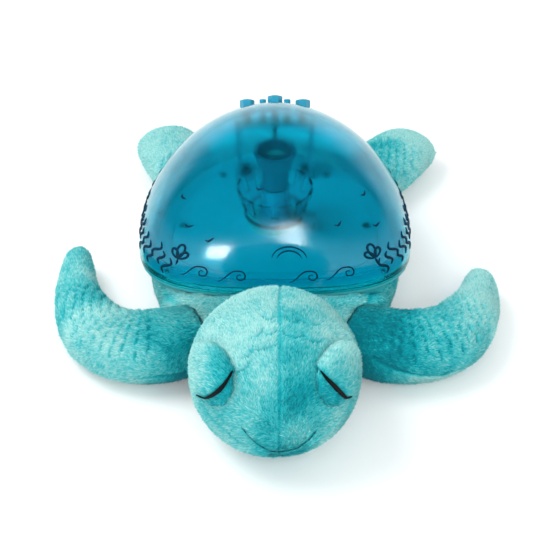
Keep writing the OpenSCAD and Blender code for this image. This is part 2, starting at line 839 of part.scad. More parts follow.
module shell_screws() {
    color("#b9bec2") at_shell_screws() screw(flange_low, rim_z + lip_thickness);
}

cable_hole_behind = 9;
cable_hole = [0, bay_y + bay_width + cable_hole_behind];
cable_radius = 1.5;

module deck_hole(radius) {
    translate([0, 0, deck_low - past]) cylinder(r = radius, h = deck_thickness + 2 * past, $fn = 48);
}

module deck_plate() {
    color("#128aa8") difference() {
        plan_slab(deck_low, rim_z, deck_inset);
        translate(tower) deck_hole(column_bore);
        translate(idler) deck_hole(shaft_radius + running_gap);
        translate(cable_hole) deck_hole(2 * cable_radius);
        at_posts() deck_hole(screw_radius + screw_gap);
        at_bracket_screws() deck_hole(screw_radius + thread_gap);
    }
}

module deck_screws() {
    color("#b9bec2") at_posts() screw(rim_z + screw_head_height, deck_low - deck_screw_depth);
}

// Chips on the main board as [x, y, width, depth, height], and cans as [x, y, radius, height]
board_chips = [[-16, -5, 10, 10, 1.6], [3, -9, 6, 5, 1.4]];
board_cans = [[14, 0, 3, 5], [14, -9, 2.5, 4.5]];
plug_size = [8, 5, 3.2];

module main_board() {
    place = [-board_size[0] / 2, bay_middle - board_size[1] / 2, board_low];
    color("#1f6b4a") {
        difference() {
            translate(place) cube([board_size[0], board_size[1], board_thickness]);
            at_board_holes() translate([0, 0, board_low - past])
                cylinder(r = board_screw_radius + screw_gap, h = board_thickness + 2 * past,
                         $fn = 24);
        }
        translate([0, bay_middle, board_high - join]) {
            for (chip = board_chips) translate([chip[0], chip[1], 0])
                cube([chip[2], chip[3], chip[4] + join]);
            for (can = board_cans) translate([can[0], can[1], 0])
                cylinder(r = can[2], h = can[3] + join, $fn = 32);
        }
        translate([-plug_size[0] / 2, cable_end[1] - plug_size[1], board_high - join])
            cube(plug_size + [0, 0, join]);
    }
}

module board_screws() {
    color("#b9bec2") at_board_holes() {
        translate([0, 0, board_high])
            cylinder(r = board_screw_head_radius, h = board_screw_head_height, $fn = 24);
        translate([0, 0, bay_top + axial_gap])
            cylinder(r = board_screw_radius, h = board_high - bay_top, $fn = 24);
    }
}

module speaker() {
    rim_height = 2;
    rim_inner = speaker_radius - 3.4;
    cone_depth = 4;
    magnet = speaker_radius * 0.6;
    magnet_low = speaker_height * 0.6;
    color("#2e3236") translate([speaker_place[0], speaker_place[1], floor_top])
        rotate_extrude($fn = 72)
        polygon([[0, cone_depth], [rim_inner / 2, cone_depth * 0.8], [rim_inner, 0.6], [rim_inner, 0],
                 [speaker_radius, 0], [speaker_radius, rim_height],
                 [speaker_radius - rim_height, rim_height], [magnet + 1, magnet_low],
                 [magnet, magnet_low], [magnet, speaker_height], [0, speaker_height]]);
}

// Switch bracket: a sloping stand on the deck under the button row

switch_board_margin = 9;
switch_board_size = [2 * (button_pitch + switch_board_margin), 12];
switch_board_hole_inset = 2.2;
bracket_plate = 2;
bracket_depth = board_depth + switch_board_thickness;
bracket_half = switch_board_size[0] / 2;
bracket_slope = switch_board_size[1] / 2;
bracket_leg = 3;
bracket_leg_set_in = 0.8;
bracket_foot_width = 10;
bracket_foot_thickness = 2.4;
bracket_foot_ahead = 10;
bracket_foot_length = 20;
bracket_foot_rear = panel_y - bracket_foot_ahead;
bracket_foot_front = bracket_foot_rear - bracket_foot_length;
bracket_foot_x = bracket_half - bracket_leg - bracket_leg_set_in - screw_head_radius - slide_gap;
bracket_leg_low = rim_z + bracket_foot_thickness / 2;
bracket_foot_y = (bracket_foot_front + bracket_foot_rear) / 2;

// Where the underside of the sloping plate lies, at a distance down the slope
function plate_point(along) =
    let (depth = bracket_depth + bracket_plate - join)
    [panel_y + along * cos(button_tilt) - depth * sin(button_tilt),
     panel_z - along * sin(button_tilt) - depth * cos(button_tilt)];

module at_bracket_screws() {
    for (side = [-1, 1]) translate([side * bracket_foot_x, bracket_foot_y]) children();
}

module at_switch_board_screws(depth) {
    for (side = [-1, 1]) panel(side * (bracket_half - switch_board_hole_inset), depth) children();
}

module switch_bracket() {
    color("#157f9c") difference() {
        union() {
            panel(0, bracket_depth + bracket_plate) translate([-bracket_half, -bracket_slope, 0])
                cube([2 * bracket_half, 2 * bracket_slope, bracket_plate]);
            for (side = [0, 1]) mirror([side, 0, 0]) {
                translate([bracket_half - bracket_leg - bracket_leg_set_in, 0, 0])
                    rotate([90, 0, 90]) linear_extrude(bracket_leg)
                    polygon([[bracket_foot_front + bracket_leg_set_in, bracket_leg_low],
                             [bracket_foot_rear - bracket_leg_set_in, bracket_leg_low],
                             plate_point(bracket_slope - bracket_leg_set_in),
                             plate_point(bracket_leg_set_in - bracket_slope)]);
                translate([bracket_half - bracket_foot_width, bracket_foot_front, rim_z])
                    cube([bracket_foot_width, bracket_foot_rear - bracket_foot_front,
                          bracket_foot_thickness]);
            }
        }
        at_bracket_screws() translate([0, 0, rim_z - past])
            cylinder(r = screw_radius + screw_gap, h = bracket_foot_thickness + 2 * past, $fn = 24);
        at_switch_board_screws(bracket_depth + bracket_plate + past)
            cylinder(r = board_screw_radius + thread_gap, h = bracket_plate + 2 * past, $fn = 24);
    }
}

module bracket_screws() {
    color("#b9bec2") {
        at_bracket_screws()
            screw(rim_z + bracket_foot_thickness + screw_head_height, deck_low - past);
        at_switch_board_screws(board_depth) {
            cylinder(r = board_screw_head_radius, h = board_screw_head_height, $fn = 24);
            translate([0, 0, -switch_board_thickness - bracket_plate])
                cylinder(r = board_screw_radius,
                         h = switch_board_thickness + bracket_plate + join, $fn = 24);
        }
    }
}

module switch_board() {
    color("#23785a") {
        difference() {
            panel(0, bracket_depth) translate([-bracket_half, -bracket_slope, 0])
                cube([2 * bracket_half, 2 * bracket_slope, switch_board_thickness]);
            at_switch_board_screws(bracket_depth + past)
                cylinder(r = board_screw_radius + screw_gap, h = switch_board_thickness + 2 * past,
                         $fn = 24);
        }
        for (x = button_places) panel(x, board_depth + join) {
            translate([-switch_size / 2, -switch_size / 2, 0])
                cube([switch_size, switch_size, switch_height + join]);
            cylinder(r = plunger_radius, h = switch_height + plunger_height + join, $fn = 24);
        }
    }
}

// A tube of constant radius along a smooth route
module tube(route, radius, sides, rings) {
    stations = [for (i = [0 : rings]) i / rings];
    sections = [for (t = stations)
        let (here = spline(route, t),
             ahead = spline(route, min(t + nudge, 1)) - spline(route, max(t - nudge, 0)),
             along = ahead / norm(ahead),
             across = [1, 0, 0],
             upward = cross(along, across) / norm(cross(along, across)))
        [for (k = [0 : sides - 1])
            let (a = -360 * k / sides)
            here + radius * (cos(a) * across + sin(a) * upward)]];
    pole_stack(spline(route, 0), sections, spline(route, 1));
}

// The flat cable's route, from the switch board's lower edge down to the main board
cable_lead = 5;
cable_drop = 16;
down_slope = [0, cos(button_tilt), -sin(button_tilt)];
into_panel = [0, -sin(button_tilt), -cos(button_tilt)];
cable_start = [0, panel_y, panel_z] + bracket_slope * down_slope
              + (board_depth + switch_board_thickness / 2) * into_panel;
cable_end = [0, bay_middle + board_size[1] / 2, board_high + plug_size[2] / 2];
cable_route = [cable_start,
               cable_start + cable_lead * down_slope,
               [0, cable_hole[1] + cable_lead, rim_z + cable_drop],
               [0, cable_hole[1], deck_low + deck_thickness / 2],
               cable_end + [0, cable_lead, 0],
               cable_end];

module switch_cable() {
    color("#2b3a44") tube(cable_route, cable_radius, 8, 20);
}

// The stuffed turtle

module floor_cut() {
    span = 4 * shell_width;
    translate([-span / 2, -span / 2, -span]) cube(span);
}

// Body: a cushion ring that swells below the rim and stands ahead of it as a chest
body_high = flange_low - seam_gap;
body_square = 2.4;
under_roll = 7;
belly_bulge = 2.5;
chest_brow = 4;
neck_sharpness = 6;
body_steps = 7;

module body_form(grow) {
    rings = [for (i = [0 : body_steps])
        let (t = i / body_steps,
             z = lerp(-floor_press - grow, body_high + grow, t),
             inset = body_inset - grow + under_roll * pow(1 - t, 3) - belly_bulge * sin(180 * t),
             chest = chest_depth * sqrt(max(1 - t * t, 0)) + chest_brow * t,
             neck = neck_depth * sqrt(max(1 - pow(t, 4), 0)))
        [for (k = [0 : plan_steps - 1])
            let (a = 360 * k / plan_steps,
                 rear = sin(a) >= 0,
                 square = rear ? rear_square : body_square,
                 depth = rear ? shell_rear - inset : shell_front - inset + chest,
                 ahead = rear ? 0 : neck * pow(sin(a), neck_sharpness))
            [(half_width - inset) * power_of(cos(a), 2 / square),
             shell_y + depth * power_of(sin(a), 2 / square) - ahead, z]]];
    pole_stack([0, shell_y, -floor_press - grow], rings, [0, shell_y, body_high + grow]);
}

module plush_body() {
    color("#57c3c4") difference() {
        body_form(0);
        plan_slab(-past, rim_z, tub_inset - seam_gap);
        floor_cut();
    }
}

// The room under and inside the shell that the flippers stay out of
module shell_room() {
    plan_slab(body_high, rim_z + shell_height, -seam_gap);
}

// Head: a rounded form whose nape is hollowed by the neck
nape_overlap = 14;
head_center = [0, front_y - chest_depth + nape_overlap - head_length / 2, head_height / 2 - floor_press];
head_steps = 14;
head_sides = 28;
head_fullness = 0.95;

module head_form(grow) {
    half = [head_width / 2 + grow, head_length / 2 + grow, head_height / 2 + grow];
    rings = [for (i = [1 : head_steps - 1])
        let (a = 180 * i / head_steps, swell = pow(sin(a), head_fullness))
        [for (k = [0 : head_sides - 1])
            let (b = 360 * k / head_sides)
            head_center + [half[0] * swell * cos(b), half[1] * cos(a), half[2] * swell * sin(b)]]];
    pole_stack(head_center + [0, half[1], 0], rings, head_center - [0, half[1], 0]);
}

module head() {
    color("#5fc6c6") difference() {
        head_form(0);
        body_form(seam_gap);
        floor_cut();
    }
}

// Eyelids: padded ovals on the sides of the brow, hollowed by the head
eyelid_width = 32;
eyelid_depth = 17;
eyelid_direction = [0.69, -0.5, 0.54];
eyelid_turn = 28;
eyelid_steps = 7;
eyelid_sides = 16;

module eyelid() {
    aim = [eyelid_direction[0] * head_width / 2, eyelid_direction[1] * head_length / 2,
           eyelid_direction[2] * head_height / 2];
    heading = atan2(aim[1], aim[0]);
    lift = acos(aim[2] / norm(aim));
    color("#6bd0cf") difference() {
        translate(head_center + aim) rotate([0, lift, heading]) rotate([0, 0, eyelid_turn])
            pole_stack([0, 0, -eyelid_depth / 2],
                [for (i = [1 : eyelid_steps - 1])
                    let (a = 180 * i / eyelid_steps)
                    [for (k = [0 : eyelid_sides - 1])
                        let (b = 360 * k / eyelid_sides)
                        [eyelid_width / 2 * sin(a) * cos(b), eyelid_length / 2 * sin(a) * sin(b),
                         -eyelid_depth / 2 * cos(a)]]],
                [0, 0, eyelid_depth / 2]);
        head_form(seam_gap);
    }
}
module eyelid_right() { eyelid(); }
module eyelid_left() { mirror([1, 0, 0]) eyelid(); }

// Flippers: keys along the spine are [x, y, z, half width, half thickness]
limb_sides = 18;
// Rings crowd toward the tip, which is rounded from this share of the length on
limb_crowding = 1.7;
tip_start = 0.84;

module limb(keys, steps) {
    rings = [for (i = [0 : steps - 1])
        let (t = 1 - pow(1 - i / steps, limb_crowding),
             here = spline(keys, t),
             ahead = spline(keys, min(t + nudge, 1)) - spline(keys, max(t - nudge, 0)),
             heading = atan2(ahead[1], ahead[0]),
             across = [-sin(heading), cos(heading)],
             rounding = t > tip_start ? sqrt(1 - pow((t - tip_start) / (1 - tip_start), 2)) : 1)
        [for (k = [0 : limb_sides - 1])
            let (b = 360 * k / limb_sides,
                 u = here[3] * rounding * cos(b),
                 v = here[4] * rounding * sin(b))
            [here[0] + across[0] * u, here[1] + across[1] * u, here[2] + v]]];
    root = keys[0];
    tip = keys[len(keys) - 1];
    pole_stack([root[0], root[1], root[2]], rings, [tip[0], tip[1], tip[2]]);
}

// A front flipper lies on the floor, bowed forward, with its tip swept back
// The two lie unevenly: how far each tip reaches behind the shell's front, and the left's shortfall
right_tip_sweep = 48;
left_tip_sweep = 76;
left_reach_shortfall = 3;
// Its root lies inside the body, its line starts behind the shell's front and bows ahead of it,
// and its tip droops
front_root_inset = 46.5;
front_set_back = 4;
front_tip_half = 12;
front_bow = 37;
front_droop = 4;
// Shares of the way out, of the bow, of the sweep, of the droop, of the width and of the thickness
front_shares = [[0, 0.7, 0, 0, 0.94, 0.95],
                [0.23, 0.97, 0, 0, 1, 1],
                [0.5, 1, 0, 0, 1, 1],
                [0.75, 0.6, 0, 0.5, 0.88, 0.9],
                [0.93, 0, 0.16, 1, 0.62, 0.76],
                [0.99, 0, 0.6, 1, 0.44, 0.62],
                [1, 0, 1, 0.75, 0.38, 0.5]];
function front_keys(reach, tip) =
    let (h = front_flipper_thickness / 2)
    [for (s = front_shares)
        [lerp(half_width - front_root_inset, reach - front_tip_half, s[0]),
         front_y + front_set_back - front_bow * s[1] + tip * s[2],
         h - floor_press - front_droop * s[3],
         front_flipper_width / 2 * s[4], h * s[5]]];

module front_flipper(reach, tip) {
    color("#56c0c6") difference() {
        limb(front_keys(reach, tip), 18);
        body_form(seam_gap);
        head_form(seam_gap);
        shell_room();
        floor_cut();
    }
}
module front_flipper_right() { front_flipper(front_flipper_reach, right_tip_sweep); }
module front_flipper_left() {
    mirror([1, 0, 0]) front_flipper(front_flipper_reach - left_reach_shortfall, left_tip_sweep);
}

// A rear flipper is a broad paddle that points outward and back
// The right one lies further out and less far back
right_rear_spread = 22;
right_rear_lag = 7;
// Its root lies inside the body, its tip is near the shell's widest line, and the tip droops
rear_root_inset = 44;
rear_root_ahead = 56;
rear_tip_inset = 2;
rear_tip_half = 12;
rear_droop = 2;
// Shares of the way to the tip, of the droop, of the width and of the thickness
rear_shares = [[0, 0, 0.85, 1], [0.37, 0, 1, 1], [0.72, 0, 1, 0.9], [1, 1, 0.8, 0.7]];
function rear_keys(spread, lag) =
    let (h = rear_flipper_thickness / 2)
    [for (s = rear_shares)
        [lerp(half_width - rear_root_inset, half_width - rear_tip_inset + spread, s[0]),
         lerp(rear_y - rear_root_ahead, rear_y + rear_flipper_reach - lag - rear_tip_half, s[0]),
         h - floor_press - rear_droop * s[1],
         rear_flipper_width / 2 * s[2], h * s[3]]];

module rear_flipper(spread, lag) {
    color("#62c8c2") difference() {
        limb(rear_keys(spread, lag), 14);
        body_form(seam_gap);
        shell_room();
        floor_cut();
    }
}
module rear_flipper_right() { rear_flipper(right_rear_spread, right_rear_lag); }
module rear_flipper_left() { mirror([1, 0, 0]) rear_flipper(0, 0); }

shell_dome();
base_tray();
deck_plate();
battery_door();
door_screw();
battery_cell_1();
battery_cell_2();
battery_cell_3();
battery_contacts();
main_board();
board_screws();
speaker();
motor();
motor_pinion();
idler_gear();
ripple_bowl();
light_column();
led_board();
lens_barrel();
spot_led();
projector_lens();
switch_bracket();
bracket_screws();
switch_board();
switch_cable();
large_button_left();
large_button_middle();
large_button_right();
small_button_left();
small_button_right();
shell_screws();
deck_screws();
plush_body();
head();
eyelid_left();
eyelid_right();
front_flipper_left();
front_flipper_right();
rear_flipper_left();
rear_flipper_right();
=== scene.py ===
import json
import math

import bmesh
import bpy
import numpy as np
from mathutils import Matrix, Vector
from mathutils.bvhtree import BVHTree

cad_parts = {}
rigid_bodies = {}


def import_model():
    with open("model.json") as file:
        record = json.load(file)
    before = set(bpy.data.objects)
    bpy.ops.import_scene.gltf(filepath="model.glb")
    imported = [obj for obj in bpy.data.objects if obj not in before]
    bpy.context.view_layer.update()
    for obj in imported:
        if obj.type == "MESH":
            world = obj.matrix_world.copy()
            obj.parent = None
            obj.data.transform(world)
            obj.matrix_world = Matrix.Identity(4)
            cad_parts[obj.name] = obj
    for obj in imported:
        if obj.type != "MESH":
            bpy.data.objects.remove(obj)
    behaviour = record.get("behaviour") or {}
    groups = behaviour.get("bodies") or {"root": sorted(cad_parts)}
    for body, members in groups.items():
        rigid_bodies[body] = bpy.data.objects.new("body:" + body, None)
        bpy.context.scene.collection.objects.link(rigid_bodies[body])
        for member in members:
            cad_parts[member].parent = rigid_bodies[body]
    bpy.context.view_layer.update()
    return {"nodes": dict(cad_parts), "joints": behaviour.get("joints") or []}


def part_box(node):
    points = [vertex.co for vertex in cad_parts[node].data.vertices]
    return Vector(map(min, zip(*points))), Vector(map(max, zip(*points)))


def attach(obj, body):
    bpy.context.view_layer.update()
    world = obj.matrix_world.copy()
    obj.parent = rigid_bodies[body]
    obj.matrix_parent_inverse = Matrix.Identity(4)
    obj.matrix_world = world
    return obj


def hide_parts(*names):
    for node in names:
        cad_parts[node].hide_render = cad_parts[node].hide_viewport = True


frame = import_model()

scene = bpy.context.scene
nodes = frame["nodes"]
MM = 0.001
RANDOM_SEED = 11

# Camera: the photograph's view, 550 pixels square

FRAME_PIXELS = 550
SENSOR = 36.0
FOCAL_PIXELS = 1465.0
CAMERA_ELEVATION = math.radians(38)
CAMERA_DISTANCE = 1.0
CAMERA_TARGET = Vector((0.0, -0.039, 0.050))
FORWARD = Vector((0.0, math.cos(CAMERA_ELEVATION), -math.sin(CAMERA_ELEVATION)))
UPWARD = Vector((0.0, math.sin(CAMERA_ELEVATION), math.cos(CAMERA_ELEVATION)))
RIGHTWARD = Vector((1.0, 0.0, 0.0))
CAMERA_PLACE = CAMERA_TARGET - CAMERA_DISTANCE * FORWARD


def make_camera():
    data = bpy.data.cameras.new("camera")
    data.sensor_width = SENSOR
    data.lens = FOCAL_PIXELS / FRAME_PIXELS * SENSOR
    camera = bpy.data.objects.new("camera", data)
    camera.location = CAMERA_PLACE
    camera.rotation_euler = (math.pi / 2 - CAMERA_ELEVATION, 0.0, 0.0)
    scene.collection.objects.link(camera)
    scene.camera = camera


def pixel_ray(pixel):
    """The direction from the camera through a pixel of the photograph."""
    across = (pixel[0] - FRAME_PIXELS / 2) / FOCAL_PIXELS
    up = (FRAME_PIXELS / 2 - pixel[1]) / FOCAL_PIXELS
    return (FORWARD + across * RIGHTWARD + up * UPWARD).normalized()


def photo_pixels(points):
    """Where points in metres show in the photograph, as x and y."""
    away = points - np.array(CAMERA_PLACE)
    depth = away @ np.array(FORWARD)
    across = away @ np.array(RIGHTWARD) / depth
    up = away @ np.array(UPWARD) / depth
    return FRAME_PIXELS / 2 + FOCAL_PIXELS * across, FRAME_PIXELS / 2 - FOCAL_PIXELS * up


make_camera()

# Meshes and objects


def add_object(name, mesh):
    piece = bpy.data.objects.new(name, mesh)
    scene.collection.objects.link(piece)
    return piece


def mesh_from(name, points, faces=(), edges=()):
    mesh = bpy.data.meshes.new(name)
    mesh.from_pydata([tuple(p) for p in points], list(edges), [tuple(f) for f in faces])
    mesh.update()
    return mesh


def evaluated_mesh(piece):
    """A plain mesh of the piece with its modifiers applied."""
    bpy.context.view_layer.update()
    depsgraph = bpy.context.evaluated_depsgraph_get()
    return bpy.data.meshes.new_from_object(piece.evaluated_get(depsgraph), depsgraph=depsgraph)


def add_modifier(piece, kind, **settings):
    modifier = piece.modifiers.new(kind.lower(), kind)
    for name, value in settings.items():
        setattr(modifier, name, value)
    return modifier


def settle(piece):
    """Replaces the piece's mesh by its modified one and removes the modifiers."""
    mesh = evaluated_mesh(piece)
    piece.modifiers.clear()
    piece.data = mesh
    return piece


def rework(mesh, operation):
    """Runs an operation on the mesh as an editable one."""
    made = bmesh.new()
    made.from_mesh(mesh)
    operation(made)
    made.to_mesh(mesh)
    made.free()
    return mesh


def points_of(mesh):
    points = np.empty(len(mesh.vertices) * 3, np.float32)
    mesh.vertices.foreach_get("co", points)
    return points.reshape(-1, 3).astype(float)


def normals_of(mesh):
    normals = np.empty(len(mesh.vertices) * 3, np.float32)
    mesh.vertices.foreach_get("normal", normals)
    return normals.reshape(-1, 3).astype(float)


def set_points(mesh, points):
    mesh.vertices.foreach_set("co", points.astype(np.float32).ravel())
    mesh.update()


def set_attribute(mesh, name, values):
    kind = "FLOAT" if values.ndim == 1 else "FLOAT_VECTOR"
    field = "value" if values.ndim == 1 else "vector"
    attribute = mesh.attributes.new(name, kind, "POINT")
    attribute.data.foreach_set(field, values.astype(np.float32).ravel())


def unit(vectors):
    return vectors / np.maximum(np.linalg.norm(vectors, axis=-1, keepdims=True), 1e-12)


def soft_step(low, high, value):
    t = np.clip((value - low) / (high - low), 0.0, 1.0)
    return t * t * (3 - 2 * t)


def finish_piece(piece, material, body="root", stands_for=()):
    piece.data.materials.clear()
    piece.data.materials.append(material)
    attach(piece, body)
    if stands_for:
        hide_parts(*stands_for)
    return piece


# Node trees


def add_node(tree, kind, inputs=None, **settings):
    """A node with its settings, and with its inputs linked or set by name or number."""
    node = tree.nodes.new(kind)
    for name, value in settings.items():
        setattr(node, name, value)
    fill(tree, node, inputs or {})
    return node


def made_by(tree, kind, inputs=None, **settings):
    """The first output of a new node."""
    return add_node(tree, kind, inputs, **settings).outputs[0]


def join(tree, source, target):
    """Links a socket, or sets a plain value, on a target socket."""
    if isinstance(source, bpy.types.NodeSocket):
        tree.links.new(source, target)
    else:
        target.default_value = source


def fill(tree, node, inputs):
    for socket, value in inputs.items():
        join(tree, value, node.inputs[socket])


def maths(tree, operation, *values):
    return made_by(tree, "ShaderNodeMath", dict(enumerate(values)), operation=operation)


def vector_maths(tree, operation, first, second=None, scale=None):
    inputs = {0: first, 1: second, "Scale": scale}
    given = {socket: value for socket, value in inputs.items() if value is not None}
    return made_by(tree, "ShaderNodeVectorMath", given, operation=operation)


def part_of(tree, vector, axis):
    """One of the three parts of a vector."""
    return add_node(tree, "ShaderNodeSeparateXYZ", {0: vector}).outputs[axis]


def soft_range(tree, value, low, high):
    """Rises smoothly from 0 to 1 between two values."""
    return made_by(tree, "ShaderNodeMapRange", {"Value": value, "From Min": low, "From Max": high},
                   interpolation_type="SMOOTHSTEP")


def mix_colours(tree, share, first, second):
    return add_node(tree, "ShaderNodeMix", {0: share, 6: first, 7: second}, data_type="RGBA").outputs[2]


def colour(red, green, blue):
    return (red, green, blue, 1.0)


def start_group(name, kind, inputs, outputs):
    """A node group with named sockets, and the sockets of its two ends."""
    tree = bpy.data.node_groups.new(name, kind)
    for socket, socket_kind, default in inputs:
        made = tree.interface.new_socket(socket, in_out="INPUT", socket_type=socket_kind)
        if default is not None:
            made.default_value = default
    for socket, socket_kind in outputs:
        tree.interface.new_socket(socket, in_out="OUTPUT", socket_type=socket_kind)
    source = tree.nodes.new("NodeGroupInput")
    result = tree.nodes.new("NodeGroupOutput")
    return tree, source.outputs, result.inputs


def start_material(name):
    material = bpy.data.materials.new(name)
    material.use_nodes = True
    tree = material.node_tree
    tree.nodes.clear()
    output = tree.nodes.new("ShaderNodeOutputMaterial")
    shader = tree.nodes.new("ShaderNodeBsdfPrincipled")
    tree.links.new(shader.outputs[0], output.inputs["Surface"])
    return material, tree, shader


def place_group(tree, group, **values):
    return add_node(tree, "ShaderNodeGroup", values, node_tree=group).outputs


def attribute_of(tree, name, output="Fac"):
    return add_node(tree, "ShaderNodeAttribute", attribute_name=name).outputs[output]


def object_place(tree):
    return tree.nodes.new("ShaderNodeTexCoord").outputs["Object"]


def light_path(tree, name):
    return tree.nodes.new("ShaderNodeLightPath").outputs[name]


def noise(tree, scale, detail=3.0, roughness=0.55):
    inputs = {"Vector": object_place(tree), "Scale": scale, "Detail": detail, "Roughness": roughness}
    return add_node(tree, "ShaderNodeTexNoise", inputs).outputs["Fac"]


def ramp(tree, factor, stops):
    node = add_node(tree, "ShaderNodeValToRGB", {0: factor})
    elements = node.color_ramp.elements
    while len(elements) < len(stops):
        elements.new(0.5)
    for element, (place, value) in zip(elements, stops):
        element.position = place
        element.color = value
    return node.outputs["Color"]


def bump(tree, height, strength, distance, shader):
    node = add_node(tree, "ShaderNodeBump", {"Strength": strength, "Distance": distance, "Height": height})
    join(tree, node.outputs["Normal"], shader.inputs["Normal"])


# Shared effects


def dyed_cloth_group():
    """The airbrushed dye of the plush, with the painted light and shade that its tone carries: a tone from
    deep teal to pale mint, clouded a little.
    """
    tree, source, result = start_group(
        "dyed_cloth", "ShaderNodeTree",
        [("Tone", "NodeSocketFloat", 0.5), ("Cloud", "NodeSocketFloat", 0.2)],
        [("Colour", "NodeSocketColor")])
    broad = maths(tree, "MULTIPLY", maths(tree, "SUBTRACT", noise(tree, 45.0, 4.0), 0.5), 1.9)
    fine = maths(tree, "SUBTRACT", noise(tree, 330.0, 2.0), 0.5)
    cloud = maths(tree, "MULTIPLY", maths(tree, "ADD", broad, fine), source["Cloud"])
    tone = maths(tree, "ADD", source["Tone"], cloud)
    dye = ramp(tree, tone, [(0.0, colour(0.0, 0.2, 0.25)), (0.3, colour(0.002, 0.41, 0.46)),
                            (0.6, colour(0.09, 0.62, 0.64)), (1.0, colour(0.46, 0.88, 0.83))])
    join(tree, dye, result["Colour"])
    return tree


def moulding_group():
    """The faint unevenness of moulded plastic: a roughness, a height and a slight change of colour."""
    tree, source, result = start_group(
        "moulding", "ShaderNodeTree",
        [("Roughness", "NodeSocketFloat", 0.35), ("Grain", "NodeSocketFloat", 900.0),
         ("Colour", "NodeSocketColor", colour(0.5, 0.5, 0.5))],
        [("Roughness", "NodeSocketFloat"), ("Height", "NodeSocketFloat"), ("Colour", "NodeSocketColor")])
    broad = noise(tree, 55.0, 3.0)
    worn = maths(tree, "MULTIPLY", maths(tree, "SUBTRACT", broad, 0.5), 0.22)
    darker = mix_colours(tree, 0.16, source["Colour"], colour(0.0, 0.02, 0.03))
    join(tree, maths(tree, "ADD", source["Roughness"], worn), result["Roughness"])
    join(tree, noise(tree, source["Grain"], 2.0, 0.5), result["Height"])
    join(tree, mix_colours(tree, broad, darker, source["Colour"]), result["Colour"])
    return tree


DYED_CLOTH = dyed_cloth_group()
MOULDING = moulding_group()

# Finishes


def plush_ground():
    """The knit under the pile, painted deeper than the tips: a painted shade under the pile."""
    material, tree, shader = start_material("plush_ground")
    dye = place_group(tree, DYED_CLOTH, Tone=attribute_of(tree, "tone"), Cloud=0.2)
    # Painted shade: the knit is mixed towards deep teal, for the shade that falls under the pile.
    deep = mix_colours(tree, 0.3, dye["Colour"], colour(0.0, 0.16, 0.2))
    fill(tree, shader, {"Base Color": deep, "Roughness": 0.95, "Specular IOR Level": 0.15})
    bump(tree, noise(tree, 1500.0, 2.0), 0.5, 0.0004, shader)
    return material


def plush_pile():
    """The pile: pale at its tips, deep at its roots as a painted shade between the tufts, lit as the
    surface that it grows on.
    """
    material, tree, shader = start_material("plush_pile")
    shade = maths(tree, "SUBTRACT", attribute_of(tree, "tuft_shade"), 0.5)
    tone = maths(tree, "ADD", attribute_of(tree, "tone"), maths(tree, "MULTIPLY", shade, 0.42))
    dye = place_group(tree, DYED_CLOTH, Tone=tone, Cloud=0.5)
    # Painted shade: each tuft runs from a darkened root to its tip, for the shade between the tufts.
    root = mix_colours(tree, 0.4, dye["Colour"], colour(0.0, 0.14, 0.18))
    tuft = mix_colours(tree, attribute_of(tree, "tuft_along"), root, dye["Colour"])
    own = tree.nodes.new("ShaderNodeNewGeometry").outputs["Normal"]
    ground = attribute_of(tree, "ground_normal", "Vector")
    both = vector_maths(tree, "ADD", vector_maths(tree, "SCALE", own, scale=0.35),
                        vector_maths(tree, "SCALE", ground, scale=0.65))
    fill(tree, shader, {"Base Color": tuft, "Roughness": 0.8, "Specular IOR Level": 0.1,
                        "Sheen Weight": 0.12, "Sheen Roughness": 0.45,
                        "Sheen Tint": colour(0.75, 0.95, 0.95),
                        "Normal": vector_maths(tree, "NORMALIZE", both)})
    return material


def thread_finish():
    """Black embroidery thread with a slight sheen."""
    material, tree, shader = start_material("black_thread")
    twist = noise(tree, 2600.0, 2.0)
    black = ramp(tree, twist, [(0.3, colour(0.001, 0.001, 0.0015)), (0.8, colour(0.006, 0.007, 0.008))])
    fill(tree, shader, {"Base Color": black, "Roughness": 0.55, "Specular IOR Level": 0.1})
    bump(tree, twist, 0.4, 0.0002, shader)
    return material


def clear_plastic(name, tint, roughness, ripple):
    """Tinted clear plastic that lets the lamps' light through to what is behind it."""
    material, tree, shader = start_material(name)
    haze = maths(tree, "MULTIPLY", noise(tree, 70.0, 3.0), roughness)
    fill(tree, shader, {"Base Color": tint, "Transmission Weight": 1.0, "IOR": 1.4, "Roughness": haze})
    bump(tree, noise(tree, 26.0, 2.0), ripple, 0.002, shader)
    passing = made_by(tree, "ShaderNodeBsdfTransparent", {"Color": [math.sqrt(part) for part in tint]})
    mixed = made_by(tree, "ShaderNodeMixShader",
                    {0: light_path(tree, "Is Shadow Ray"), 1: shader.outputs[0], 2: passing})
    output = next(n for n in tree.nodes if n.type == "OUTPUT_MATERIAL")
    join(tree, mixed, output.inputs["Surface"])
    return material


def shell_finish():
    """The shell's tinted plastic, paler where light gathers in its rim, as a painted glow."""
    material = clear_plastic("tinted_shell", SHELL_TINT, 0.26, 0.02)
    tree = material.node_tree
    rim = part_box("shell_dome")[0].z
    above = soft_range(tree, part_of(tree, object_place(tree), "Z"), rim + 0.3 * MM, rim + 9.0 * MM)
    # Painted glow: the tint turns paler towards the rim.
    tint = mix_colours(tree, above, RIM_PAINTED_GLOW, SHELL_TINT)
    join(tree, tint, tree.nodes["Principled BSDF"].inputs["Base Color"])
    return material


def lay_moulding(tree, shader, base, roughness, grain, relief, depth=0.0003):
    """Gives a shader a colour with the unevenness of moulding."""
    made = place_group(tree, MOULDING, Roughness=roughness, Grain=grain, Colour=base)
    fill(tree, shader, {"Base Color": made["Colour"], "Roughness": made["Roughness"]})
    bump(tree, made["Height"], relief, depth, shader)


def moulded(name, base, roughness, grain=900.0, relief=0.08, coat=0.0):
    """Opaque moulded plastic."""
    material, tree, shader = start_material(name)
    lay_moulding(tree, shader, base, roughness, grain, relief)
    shader.inputs["Coat Weight"].default_value = coat
    return material


